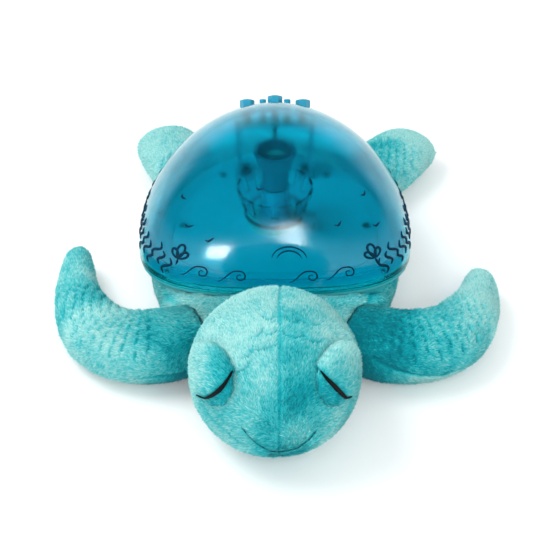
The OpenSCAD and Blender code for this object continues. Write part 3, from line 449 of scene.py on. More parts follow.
def base_finish():
    """The base's plastic: pale from the flange's top up, under the shell, as painted light, and deep below.
    """
    material, tree, shader = start_material("base_plastic")
    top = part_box("shell_dome")[0].z
    # Painted light: the flange's top and what lies above it are lit copies of the deep plastic below.
    upper = soft_range(tree, part_of(tree, object_place(tree), "Z"), top - 1.2 * MM, top - 0.2 * MM)
    shade = mix_colours(tree, upper, colour(0.06, 0.5, 0.55), colour(0.5, 0.85, 0.88))
    lay_moulding(tree, shader, shade, 0.45, 600.0, 0.15)
    return material


def plated(name, base, roughness):
    """Plated or bare metal with fine brushing."""
    material, tree, shader = start_material(name)
    lay_moulding(tree, shader, base, roughness, 2400.0, 0.1, 0.0002)
    shader.inputs["Metallic"].default_value = 1.0
    return material


def board_finish():
    """Green solder mask with copper tracks under it."""
    material, tree, shader = start_material("circuit_board")
    tracks = add_node(tree, "ShaderNodeTexBrick", {
        "Vector": object_place(tree), "Scale": 190.0, "Mortar Size": 0.018,
        "Color1": colour(0.006, 0.1, 0.05), "Color2": colour(0.008, 0.13, 0.065),
        "Mortar": colour(0.05, 0.3, 0.14)})
    fill(tree, shader, {"Base Color": tracks.outputs["Color"], "Roughness": 0.3})
    bump(tree, tracks.outputs["Fac"], 0.2, 0.0002, shader)
    return material


def cell_finish():
    """A cell's plain wrapper: dark, with a bright band at its button end."""
    material, tree, shader = start_material("cell_wrapper")
    from_middle = maths(tree, "ABSOLUTE", part_of(tree, object_place(tree), "X"))
    ends = maths(tree, "GREATER_THAN", from_middle, 0.0175)
    wrapper = mix_colours(tree, ends, colour(0.03, 0.035, 0.04), colour(0.55, 0.36, 0.16))
    worn = maths(tree, "ADD", maths(tree, "MULTIPLY", noise(tree, 300.0), 0.2), 0.2)
    fill(tree, shader, {"Base Color": wrapper, "Roughness": worn, "Coat Weight": 0.4})
    return material


def speaker_finish():
    """A ribbed paper cone in a black frame."""
    material, tree, shader = start_material("speaker_cone")
    middle = (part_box("speaker")[0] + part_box("speaker")[1]) / 2
    away = vector_maths(tree, "SUBTRACT", object_place(tree), tuple(middle))
    flat = vector_maths(tree, "MULTIPLY", away, (1.0, 1.0, 0.0))
    length = add_node(tree, "ShaderNodeVectorMath", {0: flat}, operation="LENGTH").outputs["Value"]
    ribs = maths(tree, "SINE", maths(tree, "MULTIPLY", length, 2600.0))
    paper = ramp(tree, ribs, [(0.0, colour(0.012, 0.012, 0.013)), (1.0, colour(0.03, 0.03, 0.032))])
    fill(tree, shader, {"Base Color": paper, "Roughness": 0.8})
    bump(tree, ribs, 0.5, 0.0004, shader)
    return material


PLUSH_GROUND = plush_ground()
PLUSH_PILE = plush_pile()
BLACK_THREAD = thread_finish()
SHELL_TINT = colour(0.006, 0.67, 0.83)
# The painted glow of the shell's rim
RIM_PAINTED_GLOW = colour(0.14, 0.95, 0.93)
SHELL_PLASTIC = shell_finish()
LIP_PLASTIC = clear_plastic("shell_lip", colour(0.6, 0.95, 0.97), 0.26, 0.02)
# Painted shade: the raised ornament is coloured dark navy, for the dark edges that the clear relief shows.
RELIEF_PAINTED_SHADE = moulded("relief_line_painted_dark", colour(0.0, 0.035, 0.075), 0.6)
RELIEF_PAINTED_SHADE.node_tree.nodes["Principled BSDF"].inputs["Specular IOR Level"].default_value = 0.1
BUTTON_PLASTIC = moulded("button_plastic", colour(0.012, 0.32, 0.47), 0.32)
BASE_PLASTIC = base_finish()
DECK_PLASTIC = moulded("deck_plastic", colour(0.74, 0.88, 0.9), 0.5, 600.0, 0.1)
BRACKET_PLASTIC = moulded("bracket_plastic", colour(0.3, 0.42, 0.46), 0.5, 600.0, 0.1)
BARREL_PLASTIC = moulded("barrel_plastic", colour(0.15, 0.3, 0.35), 0.3)
BOWL_PLASTIC = clear_plastic("bowl_plastic", colour(0.72, 0.94, 0.98), 0.12, 0.1)
LENS_PLASTIC = clear_plastic("lens_plastic", colour(0.9, 0.97, 0.98), 0.03, 0.0)
GEAR_PLASTIC = moulded("gear_plastic", colour(0.5, 0.56, 0.58), 0.4)
CABLE_PLASTIC = moulded("cable_jacket", colour(0.02, 0.03, 0.04), 0.5)
EMITTER_PLASTIC = moulded("emitter_plastic", colour(0.8, 0.82, 0.7), 0.25, coat=0.3)
SCREW_STEEL = plated("screw_steel", colour(0.56, 0.57, 0.58), 0.32)
CELL_WRAP = cell_finish()
CIRCUIT_BOARD = board_finish()
SPEAKER_CONE = speaker_finish()

NODE_FINISHES = {
    BASE_PLASTIC: ["base_tray", "battery_door"],
    DECK_PLASTIC: ["deck_plate"],
    BRACKET_PLASTIC: ["switch_bracket"],
    BUTTON_PLASTIC: ["large_button_left", "large_button_middle", "large_button_right",
                     "small_button_left", "small_button_right"],
    BARREL_PLASTIC: ["lens_barrel"],
    BOWL_PLASTIC: ["ripple_bowl"],
    LENS_PLASTIC: ["projector_lens"],
    GEAR_PLASTIC: ["idler_gear", "motor_pinion", "light_column"],
    CABLE_PLASTIC: ["switch_cable"],
    EMITTER_PLASTIC: ["led_board", "spot_led"],
    SCREW_STEEL: ["door_screw", "board_screws", "bracket_screws", "shell_screws", "deck_screws",
                  "battery_contacts", "motor"],
    CELL_WRAP: ["battery_cell_1", "battery_cell_2", "battery_cell_3"],
    CIRCUIT_BOARD: ["main_board", "switch_board"],
    SPEAKER_CONE: ["speaker"],
}
for finish, names in NODE_FINISHES.items():
    for name in names:
        nodes[name].data.materials.clear()
        nodes[name].data.materials.append(finish)

# Floor, world and lamps

FLOOR_HALF = 4.0
FLOOR_DROP = 0.0002
WORLD_LIGHT = 0.78
CEILING_DIMMED = 0.97


def seen_directly(tree):
    """One for rays from the camera, and for reflected and refracted ones."""
    some = maths(tree, "MAXIMUM", light_path(tree, "Is Camera Ray"), light_path(tree, "Is Glossy Ray"))
    return maths(tree, "MAXIMUM", some, light_path(tree, "Is Transmission Ray"))


def make_floor():
    around = ((-1, -1), (1, -1), (1, 1), (-1, 1))
    corners = [(x * FLOOR_HALF, y * FLOOR_HALF, -FLOOR_DROP) for x, y in around]
    floor = add_object("floor", mesh_from("floor", corners, [(0, 1, 2, 3)]))
    material, tree, shader = start_material("white_floor")
    glow = maths(tree, "MULTIPLY", seen_directly(tree), 0.12)
    fill(tree, shader, {"Base Color": colour(0.86, 0.87, 0.87), "Roughness": 0.9, "Specular IOR Level": 0.0,
                        "Emission Color": colour(1.0, 1.0, 1.0), "Emission Strength": glow})
    floor.data.materials.append(material)


def make_world():
    """Soft light all round; what is seen directly is white, and mirrored it dims towards the ceiling."""
    world = bpy.data.worlds.new("studio")
    world.use_nodes = True
    tree = world.node_tree
    tree.nodes.clear()
    way = tree.nodes.new("ShaderNodeTexCoord").outputs["Generated"]
    overhead = soft_range(tree, part_of(tree, way, "Z"), 0.02, 0.33)
    mirrored = maths(tree, "MULTIPLY", overhead, light_path(tree, "Is Glossy Ray"))
    white = maths(tree, "MULTIPLY", seen_directly(tree), 1 - WORLD_LIGHT)
    strength = maths(tree, "SUBTRACT", maths(tree, "ADD", white, WORLD_LIGHT),
                     maths(tree, "MULTIPLY", mirrored, CEILING_DIMMED))
    light = made_by(tree, "ShaderNodeBackground", {"Color": colour(0.97, 0.99, 1.0), "Strength": strength})
    add_node(tree, "ShaderNodeOutputWorld", {"Surface": light})
    scene.world = world


def fade_edges(data):
    """Makes an area lamp's light fall off towards the edges of its face."""
    data.use_nodes = True
    tree = data.node_tree
    tree.nodes.clear()
    face = tree.nodes.new("ShaderNodeNewGeometry").outputs["Parametric"]
    strength = 1.6
    for axis in (0, 1):
        from_middle = maths(tree, "ABSOLUTE", maths(tree, "SUBTRACT", part_of(tree, face, axis), 0.5))
        fall = soft_range(tree, maths(tree, "SUBTRACT", 0.5, from_middle), 0.0, 0.3)
        strength = maths(tree, "MULTIPLY", fall, strength)
    light = made_by(tree, "ShaderNodeEmission", {"Strength": strength})
    add_node(tree, "ShaderNodeOutputLight", {0: light})


def make_lamp(name, place, aim, size, power, only_mirrored):
    data = bpy.data.lights.new(name, "AREA")
    data.shape = "RECTANGLE"
    data.size = size[0]
    data.size_y = size[1]
    data.energy = power
    if only_mirrored:
        fade_edges(data)
    lamp = bpy.data.objects.new(name, data)
    lamp.location = place
    lamp.rotation_euler = (Vector(aim) - Vector(place)).to_track_quat("-Z", "Y").to_euler()
    lamp.visible_glossy = only_mirrored
    lamp.visible_diffuse = not only_mirrored
    lamp.visible_transmission = False
    scene.collection.objects.link(lamp)


make_floor()
make_world()
make_lamp("key_left", (-0.75, 0.05, 1.15), (0.0, 0.0, 0.03), (0.9, 0.7), 10.0, False)
make_lamp("front_fill", (0.25, -1.25, 1.0), (0.0, -0.05, 0.04), (1.0, 0.8), 10.5, False)
make_lamp("front_softbox", (0.042, -0.68, 0.27), (0.01, -0.036, 0.08), (0.085, 0.42), 1.7, True)
make_lamp("left_softbox", (-0.225, -0.70, 0.09), (-0.05, -0.03, 0.06), (0.22, 0.20), 3.4, True)
scene.view_settings.view_transform = "Standard"

# The shell: a smooth dome with its lip, its button holes and a raised ornament

shell_low, shell_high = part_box("shell_dome")
SHELL_MIDDLE_Y = 18 * MM
HALF_WIDTH = shell_high.x
FRONT_DEPTH = SHELL_MIDDLE_Y - shell_low.y
REAR_DEPTH = shell_high.y - SHELL_MIDDLE_Y
RIM_Z = shell_low.z
SHELL_HEIGHT = shell_high.z - shell_low.z
SHELL_WALL = 2.4 * MM
LIP_WIDTH = 10 * MM
LIP_THICKNESS = 3 * MM
RIM_SEAT = 0.15 * MM
DRIP_EDGE = 1.2 * MM
DRIP_WALL = 0.45 * MM
LIP_PLAY = 0.2 * MM
LIP_HOLE_ANGLES = [-40, -140, 14, 166, 62, 118]
LIP_HOLE_INSET = 7.4 * MM
LIP_HOLE_RADIUS = 1.35 * MM
FRONT_SQUARE = 3.0
REAR_SQUARE = 1.9
ARCH_SQUARE = 1.95
PLAN_STEPS = 168
ARCH_STEPS = 44
SHELL_CENTRE = np.array([0.0, SHELL_MIDDLE_Y, RIM_Z])


def signed_power(value, power):
    return np.sign(value) * np.abs(value) ** power


def plan_points(angles, inset=0.0):
    """Points of the shell's plan at angles from its widest line, as x and y."""
    rear = np.sin(angles) >= 0
    square = np.where(rear, REAR_SQUARE, FRONT_SQUARE)
    depth = np.where(rear, REAR_DEPTH, FRONT_DEPTH) - inset
    return np.stack([(HALF_WIDTH - inset) * signed_power(np.cos(angles), 2 / square),
                     SHELL_MIDDLE_Y + depth * signed_power(np.sin(angles), 2 / square)], axis=-1)


def plan_reach(points):
    """How far out points lie in plan: 1 on the shell's widest line."""
    rear = points[..., 1] >= SHELL_MIDDLE_Y
    square = np.where(rear, REAR_SQUARE, FRONT_SQUARE)
    depth = np.where(rear, REAR_DEPTH, FRONT_DEPTH)
    across = np.abs(points[..., 0] / HALF_WIDTH) ** square
    along = np.abs((points[..., 1] - SHELL_MIDDLE_Y) / depth) ** square
    return (across + along) ** (1 / square)


def on_dome(points, lift=0.0):
    """Points moved along rays from the shell's centre onto its outer face, and lifted off it."""
    height = np.abs((points[..., 2] - RIM_Z) / SHELL_HEIGHT)
    share = (plan_reach(points) ** ARCH_SQUARE + height ** ARCH_SQUARE) ** (1 / ARCH_SQUARE)
    away = (points - SHELL_CENTRE) / share[..., None]
    return SHELL_CENTRE + away + lift * unit(away)


def dome_point(angle, rise):
    """A point of the shell's outer face at a plan angle and an angle of rise."""
    reach = np.cos(rise) ** (2 / ARCH_SQUARE)
    flat = plan_points(np.array([angle]))[0]
    return np.array([flat[0] * reach, SHELL_MIDDLE_Y + (flat[1] - SHELL_MIDDLE_Y) * reach,
                     RIM_Z + SHELL_HEIGHT * np.sin(rise) ** (2 / ARCH_SQUARE)])


def ring_at(reach, z, inset):
    angles = -2 * np.pi * np.arange(PLAN_STEPS) / PLAN_STEPS
    flat = plan_points(angles, inset)
    ring = np.empty((PLAN_STEPS, 3))
    ring[:, 0] = flat[:, 0] * reach
    ring[:, 1] = SHELL_MIDDLE_Y + (flat[:, 1] - SHELL_MIDDLE_Y) * reach
    ring[:, 2] = z
    return ring


def arch_ring(rise, inset):
    return ring_at(math.cos(rise) ** (2 / ARCH_SQUARE),
                   RIM_Z + (SHELL_HEIGHT - inset) * math.sin(rise) ** (2 / ARCH_SQUARE), inset)


def stack_rings(name, first, rings, last):
    """A closed mesh from a pole through rings of points to another pole."""
    sides = len(rings[0])
    points = [first] + [p for ring in rings for p in ring] + [last]
    faces = []
    for r in range(len(rings) - 1):
        low = 1 + r * sides
        for k in range(sides):
            n = (k + 1) % sides
            faces.append((low + k, low + sides + k, low + sides + n, low + n))
    end = 1 + (len(rings) - 1) * sides
    for k in range(sides):
        n = (k + 1) % sides
        faces.append((0, 1 + k, 1 + n))
        faces.append((len(points) - 1, end + n, end + k))
    return rework(mesh_from(name, points, faces),
                  lambda made: bmesh.ops.recalc_face_normals(made, faces=made.faces))


def prism_faces(sides):
    """The faces of a closed prism over two rings of points."""
    walls = [(k, (k + 1) % sides, sides + (k + 1) % sides, sides + k) for k in range(sides)]
    return walls + [tuple(range(sides))[::-1], tuple(range(sides, 2 * sides))]


# The buttons' row on the shell's rear slope
BUTTON_AHEAD = 28 * MM
HOLE_GAP = 0.4 * MM
LARGE_BUTTON_WIDTH = 9.6 * MM
SMALL_BUTTON_WIDTH = 5 * MM
HOLE_DEPTH = 16 * MM
BUTTON_NAMES = NODE_FINISHES[BUTTON_PLASTIC]
press = next(j for j in frame["joints"] if j["name"] == "large_button_middle_press")
PANEL_OUT = -Vector(press["axis"]).normalized()


def hole_cutter(name):
    """A prism along a button's travel that leaves it its sliding room."""
    low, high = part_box(name)
    x = (low.x + high.x) / 2
    y = shell_high.y - BUTTON_AHEAD
    behind = (y - SHELL_MIDDLE_Y) / REAR_DEPTH
    z = RIM_Z + SHELL_HEIGHT * (1 - behind ** ARCH_SQUARE) ** (1 / ARCH_SQUARE)
    hexagon = name.startswith("large")
    sides = 6 if hexagon else 32
    width = LARGE_BUTTON_WIDTH if hexagon else SMALL_BUTTON_WIDTH
    radius = (width / 2 + HOLE_GAP) / math.cos(math.pi / sides)
    across = Vector((1.0, 0.0, 0.0))
    upward = PANEL_OUT.cross(across)
    rings = []
    for end in (-HOLE_DEPTH, HOLE_DEPTH):
        middle = Vector((x, y, z)) + PANEL_OUT * end
        rings.append([middle + radius * (across * math.cos(a) + upward * math.sin(a))
                      for a in (2 * math.pi * k / sides for k in range(sides))])
    return rings[0] + rings[1], prism_faces(sides)


def cut_away(piece, points, faces):
    """Takes the closed forms given by points and faces out of a piece."""
    cutter = add_object("cutter", mesh_from("cutter", points, faces))
    add_modifier(piece, "BOOLEAN", object=cutter, operation="DIFFERENCE", solver="EXACT")
    settle(piece)
    bpy.data.objects.remove(cutter)


def all_of(forms):
    """The points and faces of several forms as one."""
    points, faces = [], []
    for more, sides in forms:
        faces += [tuple(i + len(points) for i in face) for face in sides]
        points += more
    return points, faces


def smooth_edged(piece):
    piece.data.shade_smooth()
    piece.data.set_sharp_from_angle(angle=math.radians(35))


def make_shell():
    quarter = math.pi / 2
    seat = RIM_Z + RIM_SEAT
    foot = RIM_Z - DRIP_EDGE
    outer = [arch_ring(quarter * i / ARCH_STEPS, 0.0) for i in range(ARCH_STEPS - 1, 0, -1)]
    rim_line = [(seat, 0.0), (foot, 0.0), (foot, DRIP_WALL), (seat, DRIP_WALL), (seat, SHELL_WALL)]
    rim = [ring_at(1, z, inset) for z, inset in rim_line]
    inner = [arch_ring(quarter * i / ARCH_STEPS, SHELL_WALL) for i in range(1, ARCH_STEPS)]
    top = SHELL_CENTRE + np.array([0, 0, SHELL_HEIGHT])
    under = SHELL_CENTRE + np.array([0, 0, SHELL_HEIGHT - SHELL_WALL])
    shell = add_object("shell", stack_rings("shell", top, outer + rim + inner, under))
    cut_away(shell, *all_of(hole_cutter(name) for name in BUTTON_NAMES))
    smooth_edged(shell)
    finish_piece(shell, SHELL_PLASTIC, stands_for=["shell_dome"])


def prism(middle, radius, height, sides=24):
    """An upright round prism on a middle, as points and faces."""
    around = [2 * math.pi * k / sides for k in range(sides)]
    points = [Vector((middle[0] + radius * math.cos(a), middle[1] + radius * math.sin(a), z))
              for z in (middle[2], middle[2] + height) for a in around]
    return points, prism_faces(sides)


def make_lip():
    """The screwed lip inside the shell's rim, a flat ring with six holes."""
    outside = SHELL_WALL + LIP_PLAY
    inside = SHELL_WALL + LIP_WIDTH
    low = RIM_Z + RIM_SEAT
    high = RIM_Z + LIP_THICKNESS
    section = [(low, outside), (low, inside), (high, inside), (high, outside)]
    points = [p for z, inset in section for p in ring_at(1, z, inset)]
    faces = []
    for r in range(4):
        for k in range(PLAN_STEPS):
            n = (k + 1) % PLAN_STEPS
            here, there = r * PLAN_STEPS, (r + 1) % 4 * PLAN_STEPS
            faces.append((here + k, here + n, there + n, there + k))
    lip = add_object("shell_lip", mesh_from("shell_lip", points, faces))
    spots = plan_points(np.radians(LIP_HOLE_ANGLES), LIP_HOLE_INSET)
    cut_away(lip, *all_of(prism((x, y, low - 2 * MM), LIP_HOLE_RADIUS, 8 * MM) for x, y in spots))
    smooth_edged(lip)
    finish_piece(lip, LIP_PLASTIC)


make_shell()
make_lip()

# Lines of the shell's ornament, as strokes in millimetres: u along the rim, v up the dome


def stroke_wave(size):
    """A running wave that ends in a scroll."""
    rise = [(t * 1.5 - 1.9, 0.12 + 0.5 * math.sin(math.pi * t - math.pi / 2))
            for t in np.linspace(0, 1, 10)]
    curl = [(-0.05 + (0.5 - 0.4 * t) * math.sin(7.4 * t), 0.12 + (0.5 - 0.4 * t) * math.cos(7.4 * t))
            for t in np.linspace(0, 1, 26)]
    return [[(size * u, size * v) for u, v in rise + curl]]


def stroke_leaf(size, turn):
    """A pointed leaf that leans by an angle."""
    out = []
    for t in np.linspace(0, 2 * math.pi, 22):
        u = 0.24 * size * math.sin(t) * (1 - 0.3 * math.cos(t))
        v = 0.5 * size * (1 - math.cos(t))
        out.append((u * math.cos(turn) + v * math.sin(turn), v * math.cos(turn) - u * math.sin(turn)))
    return out


def stroke_sprig(size):
    stem = [(0.0, -0.5 * size), (0.03 * size, -0.25 * size), (0.0, 0.0)]
    leaves = ((1.0, 0.0), (0.75, 0.8), (0.75, -0.8))
    return [stem] + [stroke_leaf(size * share, turn) for share, turn in leaves]


def stroke_squiggle(size):
    """A wavy stroke, mirrored where the size is negative."""
    return [[(0.2 * size * math.sin(2 * math.pi * t), abs(size) * (t - 0.5))
             for t in np.linspace(0, 1, 16)]]


def stroke_tick(size):
    return [[(size * u, size * v) for u, v in ((-0.5, 0.1), (-0.15, -0.12), (0.1, 0.0), (0.5, 0.28))]]


def stroke_arch(size):
    return [[(size * share * math.cos(a), 0.8 * size * share * math.sin(a))
             for a in np.linspace(0.2, 2.94, 20)] for share in (1.0, 0.7)]


def even_angles(first, step, count):
    """Plan angles in degrees at even steps in millimetres along the rim from a first angle."""
    angles = np.radians(first + np.arange(0, 150, 0.5))
    spots = plan_points(angles) / MM
    lengths = np.concatenate([[0], np.cumsum(np.linalg.norm(np.diff(spots, axis=0), axis=1))])
    return np.degrees(np.interp(step * np.arange(count), lengths, angles))


# Each motif: strokes, size, plan angle, rise up the dome and turn in degrees, thickness of its line
WAVE_PLACES = [(-112, 10), (-97, 9), (-82, 9), (-67, 10)]
FRONT_MOTIFS = [(stroke_wave, 8.5, angle, rise, 0, 1.0) for angle, rise in WAVE_PLACES]
FRONT_MOTIFS += [(stroke_sprig, 10.5, -127, 16, -6, 1.6), (stroke_sprig, 10.5, -51, 16, 8, 1.6),
                 (stroke_arch, 12, -88, 19, 0, 1.0)]
SIDE_ANGLES = even_angles(-46, 5.6, 28)
SIDE_MOTIFS = [(stroke_squiggle, way * (14 - 3 * (k % 2)), side + way * angle, 10 + 3 * (k % 3),
                way * (14 - 9 * (k % 2)), 1.8)
               for side, way in ((0, 1), (180, -1)) for k, angle in enumerate(SIDE_ANGLES)]
TICK_PLACES = [(-128, 33), (-66, 36), (-150, 44), (-30, 46), (-95, 56), (-112, 28), (-40, 31)]
UPPER_MOTIFS = [(stroke_tick, 6, angle, rise, angle % 50 - 25, 1.4) for angle, rise in TICK_PLACES]
RELIEF_WIDTH = 1.15 * MM
RELIEF_LIFT = 0.05 * MM


def ornament_lines():
    """Every stroke of the ornament, laid on the dome, and how thick it is."""
    lines, thicknesses = [], []
    for make_strokes, size, angle, rise, turn, thickness in FRONT_MOTIFS + SIDE_MOTIFS + UPPER_MOTIFS:
        around, up = math.radians(angle), math.radians(rise)
        middle = dome_point(around, up)
        along = unit(dome_point(around + 0.01, up) - dome_point(around - 0.01, up))
        above = unit(dome_point(around, up + 0.01) - dome_point(around, up - 0.01))
        spin = math.radians(turn)
        for stroke in make_strokes(size):
            flat = np.array(stroke) * MM
            u = flat[:, 0] * math.cos(spin) - flat[:, 1] * math.sin(spin)
            v = flat[:, 0] * math.sin(spin) + flat[:, 1] * math.cos(spin)
            lines.append(on_dome(middle + u[:, None] * along + v[:, None] * above, RELIEF_LIFT))
            thicknesses.append(np.full(len(u), thickness))
    return lines, thicknesses


def line_mesh(name, lines, attribute, values):
    """A mesh of edges along each line, with an attribute of its points."""
    points = np.concatenate(lines)
    edges = []
    start = 0
    for line in lines:
        edges += [(start + i, start + i + 1) for i in range(len(line) - 1)]
        start += len(line)
    mesh = mesh_from(name, points, edges=edges)
    set_attribute(mesh, attribute, np.concatenate(values))
    return mesh


def set_input(modifier, name, value):
    for item in modifier.node_group.interface.items_tree:
        if item.name == name and item.in_out == "INPUT":
            modifier[item.identifier] = value


def grow(piece, tree, **values):
    """Runs a geometry tree on the piece and keeps its result as a plain mesh."""
    modifier = piece.modifiers.new("grow", "NODES")
    modifier.node_group = tree
    for name, value in values.items():
        set_input(modifier, name.replace("_", " "), value)
    return settle(piece)


def end_tree(tree, geometry, material, result):
    """Realizes what a tree has made, sets its finish and puts it out."""
    realized = made_by(tree, "GeometryNodeRealizeInstances", {0: geometry})
    painted = made_by(tree, "GeometryNodeSetMaterial", {"Geometry": realized, "Material": material})
    join(tree, painted, result["Geometry"])


def start_growth(name, numbers):
    """A geometry tree that takes a mesh, a finish and the named numbers."""
    inputs = [("Geometry", "NodeSocketGeometry", None), ("Finish", "NodeSocketMaterial", None)]
    for socket, value in numbers.items():
        inputs.append((socket, "NodeSocketInt" if isinstance(value, int) else "NodeSocketFloat", value))
    return start_group(name, "GeometryNodeTree", inputs, [("Geometry", "NodeSocketGeometry")])


def named(tree, name, kind="FLOAT"):
    """An attribute of the geometry by its name."""
    return made_by(tree, "GeometryNodeInputNamedAttribute", {"Name": name}, data_type=kind)


def stored(tree, geometry, name, value, kind="FLOAT"):
    """The geometry with a value kept on its points under a name."""
    return made_by(tree, "GeometryNodeStoreNamedAttribute",
                   {"Geometry": geometry, "Name": name, "Value": value}, data_type=kind, domain="POINT")


def along_curve(tree):
    """The share of the way along a curve."""
    return tree.nodes.new("GeometryNodeSplineParameter").outputs["Factor"]


def raised_line_tree():
    """A round ridge along each line of edges, drawn in at its ends."""
    tree, source, result = start_growth("raised_line", {"Width": 0.001})
    curve = made_by(tree, "GeometryNodeMeshToCurve", {"Mesh": source["Geometry"]})
    swell = maths(tree, "SINE", maths(tree, "MULTIPLY", along_curve(tree), math.pi))
    swell = maths(tree, "MAXIMUM", maths(tree, "POWER", swell, 0.3), 0.35)
    swell = maths(tree, "MULTIPLY", swell, named(tree, "thickness"))
    sized = made_by(tree, "GeometryNodeSetCurveRadius", {"Curve": curve, "Radius": swell})
    profile = made_by(tree, "GeometryNodeCurvePrimitiveCircle",
                      {"Resolution": 8, "Radius": maths(tree, "MULTIPLY", source["Width"], 0.5)})
    ridge = made_by(tree, "GeometryNodeCurveToMesh",
                    {"Curve": sized, "Profile Curve": profile, "Fill Caps": True,
                     "Scale": tree.nodes.new("GeometryNodeInputRadius").outputs[0]})
    smooth = made_by(tree, "GeometryNodeSetShadeSmooth", {"Geometry": ridge})
    end_tree(tree, smooth, source["Finish"], result)
    return tree


RAISED_LINE = raised_line_tree()
strokes, stroke_thicknesses = ornament_lines()
stroke_mesh = line_mesh("shell_ornament", strokes, "thickness", stroke_thicknesses)
ornament = add_object("shell_ornament", stroke_mesh)
grow(ornament, RAISED_LINE, Width=RELIEF_WIDTH, Finish=RELIEF_PAINTED_SHADE)
finish_piece(ornament, RELIEF_PAINTED_SHADE)

# Stuffed pieces: each starts from its solid, is filled by a cloth simulation and then sewn and napped

# A limb's spine in millimetres, as the solids have it: keys are x, y, z, half width and half thickness
FRONT_SHARES = [(0, 0.7, 0, 0, 0.94, 0.95), (0.23, 0.97, 0, 0, 1, 1), (0.5, 1, 0, 0, 1, 1),
                (0.75, 0.6, 0, 0.5, 0.88, 0.9), (0.93, 0, 0.16, 1, 0.62, 0.76),
                (0.99, 0, 0.6, 1, 0.44, 0.62), (1, 0, 1, 0.75, 0.38, 0.5)]
FRONT_ROOT = (50, -42, 21)
FRONT_TIP_INSET = 12
FRONT_LEAD = 37
FRONT_SINK = 4
FRONT_HALF_WIDTH = 30
FRONT_HALF_THICKNESS = 21.5
REAR_SHARES = [(0, 0, 0.85, 1), (0.37, 0, 1, 1), (0.72, 0, 1, 0.9), (1, 1, 0.8, 0.7)]
REAR_ROOT = (52.5, 95, 18)
REAR_TIP = (94.5, 190)
REAR_SINK = 2
REAR_HALF_WIDTH = 28
REAR_HALF_THICKNESS = 18.5


def blend(low, high, share):
    return low + (high - low) * share


def front_keys(side, reach, sweep):
    x, y, z = FRONT_ROOT
    return np.array([[side * blend(x, reach - FRONT_TIP_INSET, s[0]), y - FRONT_LEAD * s[1] + sweep * s[2],
                      z - FRONT_SINK * s[3], FRONT_HALF_WIDTH * s[4], FRONT_HALF_THICKNESS * s[5]]
                     for s in FRONT_SHARES])


def rear_keys(side, spread, lag):
    x, y, z = REAR_ROOT
    return np.array([[side * blend(x, REAR_TIP[0] + spread, s[0]), blend(y, REAR_TIP[1] - lag, s[0]),
                      z - REAR_SINK * s[1], REAR_HALF_WIDTH * s[2], REAR_HALF_THICKNESS * s[3]]
                     for s in REAR_SHARES])


def spine_samples(keys, count=240):
    """The smooth curve through the keys, and the way it runs in plan."""
    spans = len(keys) - 1
    place = np.linspace(0, spans, count)
    i = np.minimum(place.astype(int), spans - 1)
    f = (place - i)[:, None]
    p0, p1 = keys[np.maximum(i - 1, 0)], keys[i]
    p2, p3 = keys[i + 1], keys[np.minimum(i + 2, spans)]
    bend = 2 * p0 - 5 * p1 + 4 * p2 - p3
    twist = 3 * (p1 - p2) + p3 - p0
    samples = p1 + 0.5 * f * ((p2 - p0) + f * (bend + f * twist))
    along = unit(np.gradient(samples[:, :2], axis=0))
    return samples, along


def limb_places(points, keys):
    """Points in millimetres as a share along the limb, an offset across it and a height over its spine,
    with the spine's run and half width there."""
    samples, along = spine_samples(keys)
    away = points[:, None, :2] - samples[None, :, :2]
    nearest = np.argmin((away ** 2).sum(-1), axis=1)
    here = samples[nearest]
    run = along[nearest]
    offset = away[np.arange(len(points)), nearest]
    across = offset[:, 0] * -run[:, 1] + offset[:, 1] * run[:, 0]
    return nearest / (len(samples) - 1), across, points[:, 2] - here[:, 2], run, here[:, 3]


FLIPPERS = {
    "front_flipper_left": front_keys(-1, 155, 76),
    "front_flipper_right": front_keys(1, 158, 48),
    "rear_flipper_left": rear_keys(-1, 0, 0),
    "rear_flipper_right": rear_keys(1, 22, 7),
}
# Limits of the stuffed pieces, in millimetres, and the base's room as a share of the shell's plan
HEAD_SEAM_X = 2.7
FLOOR_REST = 3.0
BODY_HIGH = 35.7
BASE_ROOM = 0.8

# Voxel of the remesh, halvings afterwards, start inside the solid and most swelling, in millimetres
STUFFING = {
    "plush_body": (5.0, 1, 1.0, 5.0),
    "head": (4.5, 2, 0.4, 3.6),
    "front_flipper_left": (4.2, 2, 0.3, 5.0),
    "front_flipper_right": (4.2, 2, 0.3, 5.0),
    "rear_flipper_left": (4.2, 2, 0.5, 5.0),
    "rear_flipper_right": (4.2, 2, 0.5, 5.0),
}
CLOTH_FRAMES = 20
CLOTH_PRESSURE = 4.0


def remeshed_solid(name, voxel):
    """A piece that starts as an even, smoothed mesh of a node's solid."""
    mesh = rework(nodes[name].data.copy(),
                  lambda made: bmesh.ops.remove_doubles(made, verts=made.verts, dist=1e-5))
    piece = add_object(name + "_plush", mesh)
    add_modifier(piece, "REMESH", mode="VOXEL", voxel_size=voxel)
    add_modifier(piece, "SMOOTH", factor=0.5, iterations=5)
    return piece


def sewn_points(name, points):
    """Where a piece's cloth is sewn down or held, for points in millimetres."""
    held = points[:, 2] < FLOOR_REST
    if name == "head":
        return held | (np.abs(points[:, 0] - HEAD_SEAM_X) < 2.4) | (points[:, 1] > -88)
    if name == "plush_body":
        inside = plan_reach(points * MM) < BASE_ROOM
        return held | inside | (points[:, 2] > BODY_HIGH - 2.5)
    share, across, height, _, half = limb_places(points, FLIPPERS[name])
    edge = (np.abs(across) > 0.72 * half) & (np.abs(height) < 2.6)
    return held | edge | (share < 0.12)


